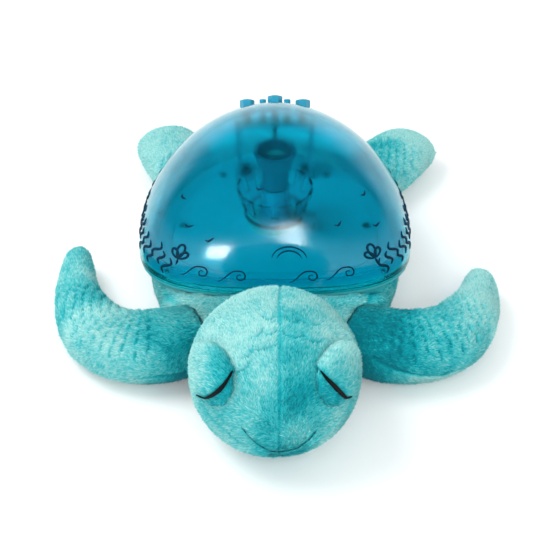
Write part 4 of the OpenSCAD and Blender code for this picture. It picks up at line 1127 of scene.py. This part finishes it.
def start_stuffing(name):
    voxel, _, start_inside, _ = STUFFING[name]
    piece = settle(remeshed_solid(name, voxel * MM))
    points = points_of(piece.data) - normals_of(piece.data) * start_inside * MM
    set_points(piece.data, points)
    held = sewn_points(name, points / MM)
    group = piece.vertex_groups.new(name="sewn")
    group.add([int(i) for i in np.nonzero(held)[0]], 1.0, "REPLACE")
    cloth = add_modifier(piece, "CLOTH")
    cloth.settings.quality = 5
    cloth.settings.mass = 0.3
    cloth.settings.use_pressure = True
    cloth.settings.uniform_pressure_force = CLOTH_PRESSURE
    cloth.settings.vertex_group_mass = "sewn"
    cloth.settings.effector_weights.gravity = 0.0
    cloth.collision_settings.use_collision = False
    cloth.point_cache.frame_start = 1
    cloth.point_cache.frame_end = CLOTH_FRAMES
    return piece


def end_stuffing(name, piece):
    """Keeps the swollen cloth within its cap, smooths it and halves its faces."""
    _, halvings, _, most = STUFFING[name]
    start = points_of(piece.data)
    swollen = points_of(evaluated_mesh(piece))
    moved = swollen - start
    far = np.linalg.norm(moved, axis=1, keepdims=True)
    start = start + moved * np.minimum(1.0, most * MM / np.maximum(far, 1e-9))
    piece.modifiers.clear()
    piece.vertex_groups.clear()
    set_points(piece.data, start)
    add_modifier(piece, "SUBSURF", levels=halvings, render_levels=halvings)
    settle(piece)
    piece.data.shade_smooth()
    return piece


def stuff_all():
    pieces = {name: start_stuffing(name) for name in STUFFING}
    for step in range(1, CLOTH_FRAMES + 1):
        scene.frame_set(step)
    for name, piece in pieces.items():
        end_stuffing(name, piece)
    scene.frame_set(1)
    return pieces


stuffed = stuff_all()

# Seams, embossing, dye with painted light and shade, and the lie of the pile, worked into the stuffed
# pieces


class Cloth:
    """A stuffed piece's points in millimetres, with what is pressed, bared and dyed on it, the dye carrying
    painted light and shade.
    """

    def __init__(self, piece):
        self.piece = piece
        self.points = points_of(piece.data) / MM
        self.normals = normals_of(piece.data)
        count = len(self.points)
        self.press = np.zeros(count)
        self.bare = np.zeros(count)
        self.tone = np.full(count, 0.6)
        self.flow = np.zeros((count, 3))

    def groove(self, distance, width, depth, bare=1.0, strength=1.0):
        mask = np.exp(-(distance / width) ** 2) * strength
        self.press = np.maximum(self.press, depth * mask)
        self.bare = np.maximum(self.bare, bare * mask)

    def tree(self):
        mesh = self.piece.data
        faces = [tuple(p.vertices) for p in mesh.polygons]
        return BVHTree.FromPolygons([Vector(p) for p in self.points * MM], faces)


def distance_to_line(points, line):
    """The least distance from each point to a line of points."""
    least = np.full(len(points), 1e9)
    for a, b in zip(line[:-1], line[1:]):
        span = b - a
        t = np.clip(((points - a) @ span) / (span @ span), 0, 1)
        least = np.minimum(least, np.linalg.norm(points - a - t[:, None] * span, axis=1))
    return least


def smooth_line(points, steps=8):
    """A finer line through points, on a smooth curve."""
    return spine_samples(points, (len(points) - 1) * steps + 1)[0]


def land(tree, pixels):
    """Points of a surface that show at pixels of the photograph, in millimetres, and the way it faces."""
    places, facings = [], []
    for pixel in pixels:
        hit, normal, _, _ = tree.ray_cast(CAMERA_PLACE, pixel_ray(pixel))
        if hit is not None:
            places.append(np.array(hit) / MM)
            facings.append(np.array(normal))
    return np.array(places), np.array(facings)


def press_line(cloth, tree, pixels, width, depth, bare):
    """Presses a line that shows at pixels of the photograph into a piece."""
    places, _ = land(tree, pixels)
    if len(places) > 1:
        cloth.groove(distance_to_line(cloth.points, smooth_line(places)), width, depth, bare)


def dye_and_shade_spots(cloth, tree, spots, spread):
    """Blends tones that lie at pixels of the photograph over the piece: the plush's dye, with painted light
    and shade.
    """
    total = np.full(len(cloth.points), 1e-3)
    value = total * 0.6
    for x, y, tone in spots:
        place, _ = land(tree, [(x, y)])
        if len(place):
            weight = np.exp(-((cloth.points - place[0]) ** 2).sum(1) / (2 * spread ** 2))
            total = total + weight
            value = value + weight * tone
    cloth.tone = value / total


def lie_of(across, along, up):
    """The lie of the pile from one part that varies and two that don't."""
    return np.column_stack([across, np.full(len(across), along), np.full(len(across), up)])


# Grooves pressed into the cloth: width and depth in millimetres, and how bare of pile they are
MIDDLE_SEAM = (0.9, 1.0, 0.9)
JAW_FOLD = (1.3, 2.4, 1.0)
MOUTH_FOLD = (1.2, 1.1, 0.7)
SCALE_EDGE = (0.9, 1.9, 0.95)
DENT = (1.1, 1.7, 1.0)
EDGE_SEAM = (1.0, 1.3, 0.9)
TIP_SEAM = (0.9, 1.0, 0.7)
REAR_SEAM = (1.1, 1.2, 0.85)
SHOULDER_SEAM = (1.6, 1.6, 0.9)
# Spots of dye: the pixel of the photograph where each shows, and its tone from deep to pale
# The tones are partly the plush's dye and partly painted light and shade: deeper where shade falls, paler
# where light falls.
HEAD_TONES = [(235, 315, 0.88), (262, 300, 0.9), (300, 300, 0.86), (318, 325, 0.8), (345, 365, 0.85),
              (200, 345, 0.85), (196, 385, 0.85), (245, 345, 0.9), (262, 335, 0.88), (262, 352, 0.92),
              (243, 366, 0.95), (254, 378, 0.8), (268, 372, 0.62), (262, 397, 0.56), (302, 396, 0.0),
              (310, 370, 0.5), (288, 358, 0.56), (290, 330, 0.7), (312, 338, 0.66), (240, 420, 0.54),
              (270, 440, 0.46), (302, 425, 0.82), (320, 415, 0.52), (345, 415, 0.62), (208, 415, 0.68),
              (280, 453, 0.46), (230, 440, 0.66), (204, 420, 0.92), (222, 443, 0.9), (245, 454, 0.78),
              (338, 428, 0.86), (322, 444, 0.84)]
FLIPPER_TONES = {
    "front_flipper_left": [(168, 332, 0.2), (150, 318, 0.55), (120, 320, 0.95), (90, 330, 0.9),
                           (75, 265, 0.74), (62, 300, 0.58), (130, 360, 0.78), (152, 352, 0.45),
                           (160, 304, 0.72), (174, 311, 0.6), (100, 365, 0.8)],
    "front_flipper_right": [(372, 330, 0.0), (385, 345, 0.0), (398, 350, 0.1), (376, 312, 0.26),
                            (420, 330, 0.52), (440, 345, 0.48), (455, 320, 0.7), (475, 322, 0.8),
                            (485, 276, 1.0), (494, 300, 0.92), (430, 374, 0.3), (460, 362, 0.55)],
    "rear_flipper_left": [(150, 150, 0.95), (165, 140, 0.9), (150, 175, 0.9)],
    "rear_flipper_right": [(385, 150, 0.56), (405, 136, 1.0), (422, 160, 0.96), (402, 186, 0.8)],
}
BODY_TONES = [(190, 306, 0.92), (176, 299, 0.82), (207, 300, 0.62), (200, 314, 0.9), (158, 292, 0.7),
              (165, 303, 0.76), (350, 322, 0.92), (352, 311, 0.92), (344, 301, 0.66), (336, 297, 0.55),
              (368, 302, 0.45), (380, 298, 0.55), (390, 290, 0.58)]
SHOULDER_SEAMS = [[(166, 295), (171.4, 297.3), (179.7, 300.6), (186.3, 306)],
                  [(374, 293), (367, 297), (361.5, 303), (358, 309)]]
# How much deeper the dye is on the right half of the head, next to the middle seam
PANEL_STEP = 0.13
MOUTH_PIXELS = [(242.4, 428.5), (252.7, 440), (263.6, 447.9), (273.3, 451.5), (280.6, 451.6),
                (296.4, 448.5), (308.5, 440), (314.5, 433.3)]
JAW_PIXELS = [[(200, 402), (208, 414), (219, 426), (232, 437), (246, 446)],
              [(351, 404), (343.5, 415), (333, 426.5), (321, 436.5), (308, 445)]]
FOREHEAD_SCALES = [[(237, 372), (246, 368.5), (250.5, 360.5)], [(242, 359), (249, 355), (252, 349)],
                   [(249, 350.5), (261, 349.6), (270, 347), (278, 344)],
                   [(252, 337), (258, 335), (263, 329)], [(263, 333), (270, 334), (277, 330)],
                   [(284, 333), (290, 336), (298.6, 337), (304, 335)],
                   [(304, 335), (308, 339), (313, 341.3), (321, 342)],
                   [(286, 318), (293, 322), (301, 319)], [(303, 320), (310, 325), (318, 325)],
                   [(262, 315), (269, 319), (276, 316)]]


def shape_head(piece):
    head = Cloth(piece)
    tree = head.tree()
    x, y, z = head.points.T
    upper = soft_step(6, 20, z)
    fade = blend(0.75, 1.0, soft_step(-176, -120, y))
    head.groove(np.abs(x - HEAD_SEAM_X), *MIDDLE_SEAM, upper * fade)
    for pixels in JAW_PIXELS:
        press_line(head, tree, pixels, *JAW_FOLD)
    press_line(head, tree, MOUTH_PIXELS, *MOUTH_FOLD)
    for pixels in FOREHEAD_SCALES:
        press_line(head, tree, pixels, *SCALE_EDGE)
    dye_and_shade_spots(head, tree, HEAD_TONES, spread=9.5)
    brow = soft_step(-185, -150, y) * soft_step(HEAD_SEAM_X - 0.4, HEAD_SEAM_X + 0.4, x)
    head.tone = head.tone - PANEL_STEP * brow * soft_step(34, 10, x)
    head.flow = lie_of(0.014 * x, 0.9, 0.3)
    return head


# How far below a flipper's spine its edge seam runs, and where it shows in the photograph
SEAM_DROP = -8.0
SEAM_PIXELS = {
    "front_flipper_left": [(66, 346), (77, 363), (86, 371), (95.5, 375.5), (110.7, 378.5), (123.7, 379.5),
                           (139, 379), (151, 377.5), (169, 375), (186, 371)],
    "front_flipper_right": [(372.5, 357), (392, 368), (405, 372.5), (421, 376), (443, 375.5), (459, 370),
                            (475.6, 361.5), (487, 349.5)],
}
TIP_SEAM_PIXELS = {"front_flipper_right": [(466, 273), (477, 271), (488, 273), (493, 280)]}
DENT_STEP = 7.2
DENT_HALF_LENGTH = 1.7
# Where along a flipper its dents start and end
DENT_SPAN = {"front_flipper_left": (0.2, 0.68), "front_flipper_right": (0.2, 0.66),
             "rear_flipper_left": (0.3, 0.5), "rear_flipper_right": (0.25, 0.72)}


def dent_lines(name, keys):
    """Short slanting dents in staggered rows over a flipper's top, as lines in plan."""
    samples, along = spine_samples(keys)
    scatter = np.random.default_rng(RANDOM_SEED)
    first, last = DENT_SPAN[name]
    side = np.sign(keys[-1][0])
    lengths = np.concatenate([[0], np.cumsum(np.linalg.norm(np.diff(samples[:, :2], axis=0), axis=1))])
    lines = []
    for row, place in enumerate(np.arange(first * lengths[-1], last * lengths[-1], 0.8 * DENT_STEP)):
        i = int(np.searchsorted(lengths, place))
        across = np.array([-along[i][1], along[i][0]])
        half = 0.8 * samples[i][3]
        for offset in np.arange(-half + (row % 2) * DENT_STEP / 2, half, DENT_STEP):
            middle = samples[i][:2] + across * offset + scatter.uniform(-0.7, 0.7, 2)
            slant = unit(np.array([-0.35 * side, 1.0]) + scatter.uniform(-0.12, 0.12, 2))
            half_length = DENT_HALF_LENGTH * scatter.uniform(0.6, 1.2)
            lines.append((middle - slant * half_length, middle + slant * half_length))
    return lines


def shape_flipper(name, piece):
    limb = Cloth(piece)
    keys = FLIPPERS[name]
    share, across, height, run, half = limb_places(limb.points, keys)
    top = soft_step(0.25, 0.6, limb.normals[:, 2])
    for a, b in dent_lines(name, keys):
        limb.groove(distance_to_line(limb.points[:, :2], np.array([a, b])), *DENT, top)
    tree = limb.tree()
    dye_and_shade_spots(limb, tree, FLIPPER_TONES[name], spread=13.0)
    if name in SEAM_PIXELS:
        seam = np.array(SEAM_PIXELS[name])
        x, y = photo_pixels(limb.points * MM)
        under = soft_step(0.0, 1.5, y - np.interp(x, seam[:, 0], seam[:, 1]))
        press_line(limb, tree, SEAM_PIXELS[name], *EDGE_SEAM)
        press_line(limb, tree, TIP_SEAM_PIXELS.get(name, []), *TIP_SEAM)
    else:
        edge = soft_step(0.4, 0.7, np.abs(across) / half)
        limb.groove(np.abs(height - SEAM_DROP), *REAR_SEAM, edge * soft_step(0.05, 0.2, share))
        under = soft_step(SEAM_DROP - 0.5, SEAM_DROP - 3.0, height)
    # Below the edge seam the cloth is pale, and deep near the root: a painted shadow under the flipper's
    # root.
    limb.tone = blend(limb.tone, blend(0.0, 0.95, soft_step(0.12, 0.36, share)), under)
    limb.flow = np.column_stack([run, np.full(len(run), -0.25)])
    return limb


# How far the chest's cloth laps up the shell's rim
RIM_LAP = 5.0
# How far the chest swells out ahead of the rim
CHEST_SWELL = 6.0


def shape_body(piece):
    body = Cloth(piece)
    tree = body.tree()
    dye_and_shade_spots(body, tree, BODY_TONES, spread=9.0)
    for pixels in SHOULDER_SEAMS:
        press_line(body, tree, pixels, *SHOULDER_SEAM)
    reach = plan_reach(body.points * MM)
    ahead = soft_step(20, -40, body.points[:, 1])
    lap = soft_step(1.14, 1.03, reach) * soft_step(0.985, 1.0, reach) * soft_step(22, 33, body.points[:, 2])
    swell = soft_step(1.5, 1.2, reach) * soft_step(0.98, 1.04, reach) * soft_step(12, 26, body.points[:, 2])
    outward = unit(body.points[:, :2] - np.array([0.0, SHELL_MIDDLE_Y / MM]))
    body.points[:, :2] += CHEST_SWELL * (swell * ahead)[:, None] * outward
    body.points[:, 2] += RIM_LAP * lap * ahead
    body.flow = lie_of(0.02 * body.points[:, 0], 0.4, -0.1)
    return body


def stray(points, amount):
    """A slow wandering of the pile's lie over points in millimetres."""
    x, y, z = points.T
    waves = [0.13 * y + 0.09 * z, 0.11 * x - 0.12 * z + 2, 0.1 * x + 0.12 * y + 4]
    return amount * np.stack([np.sin(wave) for wave in waves], axis=1)


FLOOR_CLEARANCE = 0.05
# The room of the shell, as a share of its plan, and the depth that a unit of that share stands for
SHELL_ROOM = 1.004
ROOM_DEPTH = 95


def keep_clear(points):
    """Points in millimetres, lifted onto the floor and kept out of the room of the shell and its flange."""
    points = points.copy()
    points[:, 2] = np.maximum(points[:, 2], FLOOR_CLEARANCE)
    reach = plan_reach(points * MM)
    inside = (reach < SHELL_ROOM) & (points[:, 2] > BODY_HIGH)
    shallow = inside & ((points[:, 2] - BODY_HIGH) < (SHELL_ROOM - reach) * ROOM_DEPTH)
    points[shallow, 2] = BODY_HIGH
    deep = inside & ~shallow
    middle = np.array([0.0, SHELL_MIDDLE_Y / MM])
    points[deep, :2] = middle + (points[deep, :2] - middle) * (SHELL_ROOM / reach[deep])[:, None]
    return points


HIDDEN_UNDER_SHELL = 0.985


def sew(cloth):
    """Presses the grooves in, deepens their tone as a painted shade, and stores what the dye and the pile
    read.
    """
    mesh = cloth.piece.data
    points = keep_clear(cloth.points - cloth.normals * cloth.press[:, None])
    set_points(mesh, points * MM)
    normals = normals_of(mesh)
    flow = unit(cloth.flow) + stray(points, 0.4)
    flow = flow - normals * (flow * normals).sum(1, keepdims=True)
    shown = soft_step(1.6, 4.5, points[:, 2]) * soft_step(-0.97, -0.75, normals[:, 2])
    lying_flat = blend(0.4, 1.0, soft_step(2.0, 7.0, points[:, 2]))
    covered = (plan_reach(points * MM) < HIDDEN_UNDER_SHELL) & (points[:, 2] < RIM_Z / MM + 2)
    shown = np.where(covered & (points[:, 2] > BODY_HIGH - 6), 0.0, shown)
    shown = np.where(plan_reach(points * MM) < BASE_ROOM, 0.0, shown)
    # Painted shade: the tone is deepened where the cloth is bare along its grooves and the lash line.
    set_attribute(mesh, "tone", np.clip(cloth.tone - 0.4 * cloth.bare, 0, 1))
    set_attribute(mesh, "pile_flow", unit(flow))
    set_attribute(mesh, "pile_keep", np.clip(shown * (1 - 0.9 * cloth.bare), 0, 1))
    set_attribute(mesh, "pile_length", blend(1.0, 0.45, cloth.bare) * lying_flat)
    return cloth


def pile_tree():
    """Leaning tufts scattered over a surface, along the lie that its pile_flow gives."""
    tree, source, result = start_growth("pile", {
        "Tufts per square metre": 1e6, "Tuft length": 0.003, "Tuft width": 0.001,
        "Lean": 0.7, "Scatter": 0.2, "Seed": 1})

    def chance(low, high, step):
        inputs = {2: low, 3: high, "Seed": maths(tree, "ADD", source["Seed"], step)}
        return add_node(tree, "FunctionNodeRandomValue", inputs, data_type="FLOAT").outputs[1]

    density = maths(tree, "MULTIPLY", source["Tufts per square metre"], named(tree, "pile_keep"))
    scattered = add_node(tree, "GeometryNodeDistributePointsOnFaces",
                         {"Mesh": source["Geometry"], "Density": density, "Seed": source["Seed"]},
                         distribute_method="RANDOM")
    normal = scattered.outputs["Normal"]
    points = stored(tree, scattered.outputs["Points"], "ground_normal", normal, "FLOAT_VECTOR")
    points = stored(tree, points, "tuft_shade", chance(0.0, 1.0, 1))
    sway = made_by(tree, "ShaderNodeCombineXYZ", {axis: chance(-1.0, 1.0, 2 + axis) for axis in range(3)})
    lying = vector_maths(tree, "SCALE", named(tree, "pile_flow", "FLOAT_VECTOR"), scale=source["Lean"])
    standing = vector_maths(tree, "SCALE", normal, scale=maths(tree, "SUBTRACT", 1.0, source["Lean"]))
    swaying = vector_maths(tree, "SCALE", sway, scale=source["Scatter"])
    way = vector_maths(tree, "ADD", vector_maths(tree, "ADD", lying, standing), swaying)
    aimed = made_by(tree, "FunctionNodeAlignRotationToVector", {"Vector": way}, axis="Z")
    across = vector_maths(tree, "CROSS_PRODUCT", way, normal)
    turned = made_by(tree, "FunctionNodeAlignRotationToVector", {"Rotation": aimed, "Vector": across},
                     axis="X", pivot_axis="Z")
    cone = add_node(tree, "GeometryNodeMeshCone",
                    {"Vertices": 3, "Radius Top": 0.0, "Depth": source["Tuft length"],
                     "Radius Bottom": maths(tree, "MULTIPLY", source["Tuft width"], 0.577)},
                    fill_type="NGON")
    height = part_of(tree, tree.nodes.new("GeometryNodeInputPosition").outputs[0], "Z")
    along = maths(tree, "DIVIDE", height, source["Tuft length"])
    tuft = stored(tree, cone.outputs["Mesh"], "tuft_along", along)
    flatter = made_by(tree, "GeometryNodeTransform",
                      {"Geometry": tuft, "Scale": (1.0, 0.55, 1.0), "Translation": (0.0, 0.0, -0.0002)})
    size = maths(tree, "MULTIPLY", chance(0.65, 1.25, 5), named(tree, "pile_length"))
    planted = made_by(tree, "GeometryNodeInstanceOnPoints",
                      {"Points": points, "Instance": flatter, "Rotation": turned, "Scale": size})
    end_tree(tree, planted, source["Finish"], result)
    return tree


PILE = pile_tree()
PILE_DENSITY = 1.2e6
PILE_LENGTH = 2.5 * MM
PILE_WIDTH = 0.85 * MM
PILE_LEAN = 0.72


def nap(piece, name, seed):
    """The pile of a stuffed piece, as a piece of its own."""
    pile = add_object(name, piece.data.copy())
    grow(pile, PILE, Tufts_per_square_metre=PILE_DENSITY, Tuft_length=PILE_LENGTH, Tuft_width=PILE_WIDTH,
         Lean=PILE_LEAN, Scatter=0.28, Seed=RANDOM_SEED + seed, Finish=PLUSH_PILE)
    return finish_piece(pile, PLUSH_PILE)


cloths = {"head": shape_head(stuffed["head"]), "plush_body": shape_body(stuffed["plush_body"])}
for name in FLIPPERS:
    cloths[name] = shape_flipper(name, stuffed[name])
for index, (name, cloth) in enumerate(cloths.items()):
    sew(cloth)
    finish_piece(cloth.piece, PLUSH_GROUND, stands_for=[name])
    nap(cloth.piece, name + "_pile", index)

# Eyelids: padded ovals, the upper lid lapping a lower crescent along the lash line

LASH_PIXELS = {
    "eyelid_left": [(197, 395), (205.5, 398), (215, 393.3), (222.4, 386.7), (228.5, 378), (232.4, 371)],
    "eyelid_right": [(321, 371), (326.7, 378), (334, 385.5), (341, 393), (346, 397.6), (351, 396.5)],
}
# The lash line carried on past its ends, over the lid's edge
LID_LINE_ENDS = {"eyelid_left": ((186, 388), (240, 356)), "eyelid_right": ((314, 360), (361, 388))}
# Spots of tone on the lids, partly the plush's dye and partly painted light and shade, as for the head
LID_TONES = {
    "eyelid_left": [(216, 345, 0.85), (200, 360, 0.85), (225, 362, 0.4), (215, 375, 0.55), (203, 386, 0.8),
                    (228, 388, 0.2), (218, 402, 0.28), (205, 403, 0.5)],
    "eyelid_right": [(336, 345, 0.95), (326, 358, 0.8), (350, 362, 0.9), (335, 370, 0.72), (350, 386, 0.75),
                     (323, 385, 0.22), (332, 400, 0.14), (346, 403, 0.4)],
}
LID_VOXEL = 2.2 * MM
PIXELS_PER_MM = FOCAL_PIXELS / (CAMERA_DISTANCE / MM)


def make_eyelid(name):
    """A lid filled out over its solid, with a step at the lash line; gives its surface back."""
    piece = remeshed_solid(name, LID_VOXEL)
    add_modifier(piece, "SUBSURF", levels=1, render_levels=1)
    settle(piece)
    piece.data.shade_smooth()
    lid = Cloth(piece)
    line = np.array([LID_LINE_ENDS[name][0]] + LASH_PIXELS[name] + [LID_LINE_ENDS[name][1]])
    x, y = photo_pixels(lid.points * MM)
    above = (np.interp(x, line[:, 0], line[:, 1]) - y) / PIXELS_PER_MM
    upper = soft_step(-0.8, 0.8, above)
    swell = upper * (0.7 + 1.3 * np.exp(-(np.maximum(above, 0) / 9) ** 2))
    sunk = (1 - upper) * (1.3 * np.exp(-(above / 3) ** 2) - 0.9)
    lid.press = sunk - swell
    lid.bare = np.exp(-(above / 1.3) ** 2)
    dye_and_shade_spots(lid, lid.tree(), LID_TONES[name], spread=6.0)
    outward = np.sign(lid.points[:, 0].mean())
    lid.flow = np.tile([0.8 * outward, 0.7, 0.3], (len(lid.points), 1))
    sew(lid)
    finish_piece(piece, PLUSH_GROUND, stands_for=[name])
    return Cloth(piece).tree()


def stitch_tree():
    """Strands laid along lines of edges, each turned across the line by a slant."""
    tree, source, result = start_growth("stitches", {
        "Spacing": 0.0005, "Strand length": 0.002, "Strand width": 0.0006, "Slant": 1.0, "Taper": 0.5})
    curve = made_by(tree, "GeometryNodeMeshToCurve", {"Mesh": source["Geometry"]})
    spaced = made_by(tree, "GeometryNodeResampleCurve", {"Curve": curve, "Length": source["Spacing"]},
                     mode="LENGTH")
    tangent = tree.nodes.new("GeometryNodeInputTangent").outputs[0]
    along = made_by(tree, "FunctionNodeAlignRotationToVector", {"Vector": tangent}, axis="X")
    raised = made_by(tree, "FunctionNodeAlignRotationToVector",
                     {"Rotation": along, "Vector": named(tree, "facing", "FLOAT_VECTOR")},
                     axis="Z", pivot_axis="X")
    turn = made_by(tree, "FunctionNodeAxisAngleToRotation", {"Angle": source["Slant"]})
    slanted = made_by(tree, "FunctionNodeRotateRotation", {"Rotation": raised, "Rotate By": turn},
                      rotation_space="LOCAL")
    swell = maths(tree, "SINE", maths(tree, "MULTIPLY", along_curve(tree), math.pi))
    swell = maths(tree, "POWER", maths(tree, "MAXIMUM", swell, 0.04), source["Taper"])
    length = maths(tree, "MULTIPLY", source["Strand length"], swell)
    width = source["Strand width"]
    sizes = made_by(tree, "ShaderNodeCombineXYZ", {0: length, 1: width, 2: width})
    strand = add_node(tree, "GeometryNodeMeshUVSphere", {"Segments": 8, "Rings": 6, "Radius": 0.5})
    lying = made_by(tree, "GeometryNodeTransform",
                    {"Geometry": strand.outputs["Mesh"], "Rotation": (0.0, math.pi / 2, 0.0)})
    laid = made_by(tree, "GeometryNodeInstanceOnPoints",
                   {"Points": spaced, "Instance": lying, "Rotation": slanted, "Scale": sizes})
    smooth = made_by(tree, "GeometryNodeSetShadeSmooth", {"Geometry": laid})
    end_tree(tree, smooth, source["Finish"], result)
    return tree


STITCHES = stitch_tree()
# How far towards the camera the thread stands off the cloth, in millimetres
LASH_LIFT = 2.2
MOUTH_LIFT = 0.45


def sew_line(name, tree, pixels, lift, **settings):
    """Embroiders a line of the photograph on a surface."""
    places, facings = land(tree, pixels)
    facings = unit(facings + 2 * facings.mean(0))
    path = smooth_line(np.hstack([places, facings]))
    points = (path[:, :3] - np.array(FORWARD) * lift) * MM
    piece = add_object(name, line_mesh(name, [points], "facing", [unit(path[:, 3:])]))
    grow(piece, STITCHES, Finish=BLACK_THREAD, **settings)
    finish_piece(piece, BLACK_THREAD)


for index, name in enumerate(LASH_PIXELS):
    lid_tree = make_eyelid(name)
    nap(bpy.data.objects[name + "_plush"], name + "_pile", 20 + index)
    sew_line(name + "_lash", lid_tree, LASH_PIXELS[name], LASH_LIFT, Spacing=0.36 * MM,
             Strand_length=4.8 * MM, Strand_width=1.0 * MM, Slant=1.2, Taper=0.4)
sew_line("mouth_stitch", Cloth(stuffed["head"]).tree(), MOUTH_PIXELS, MOUTH_LIFT, Spacing=2.6 * MM,
         Strand_length=3.2 * MM, Strand_width=0.6 * MM, Slant=0.0, Taper=0.1)

bpy.context.view_layer.update()
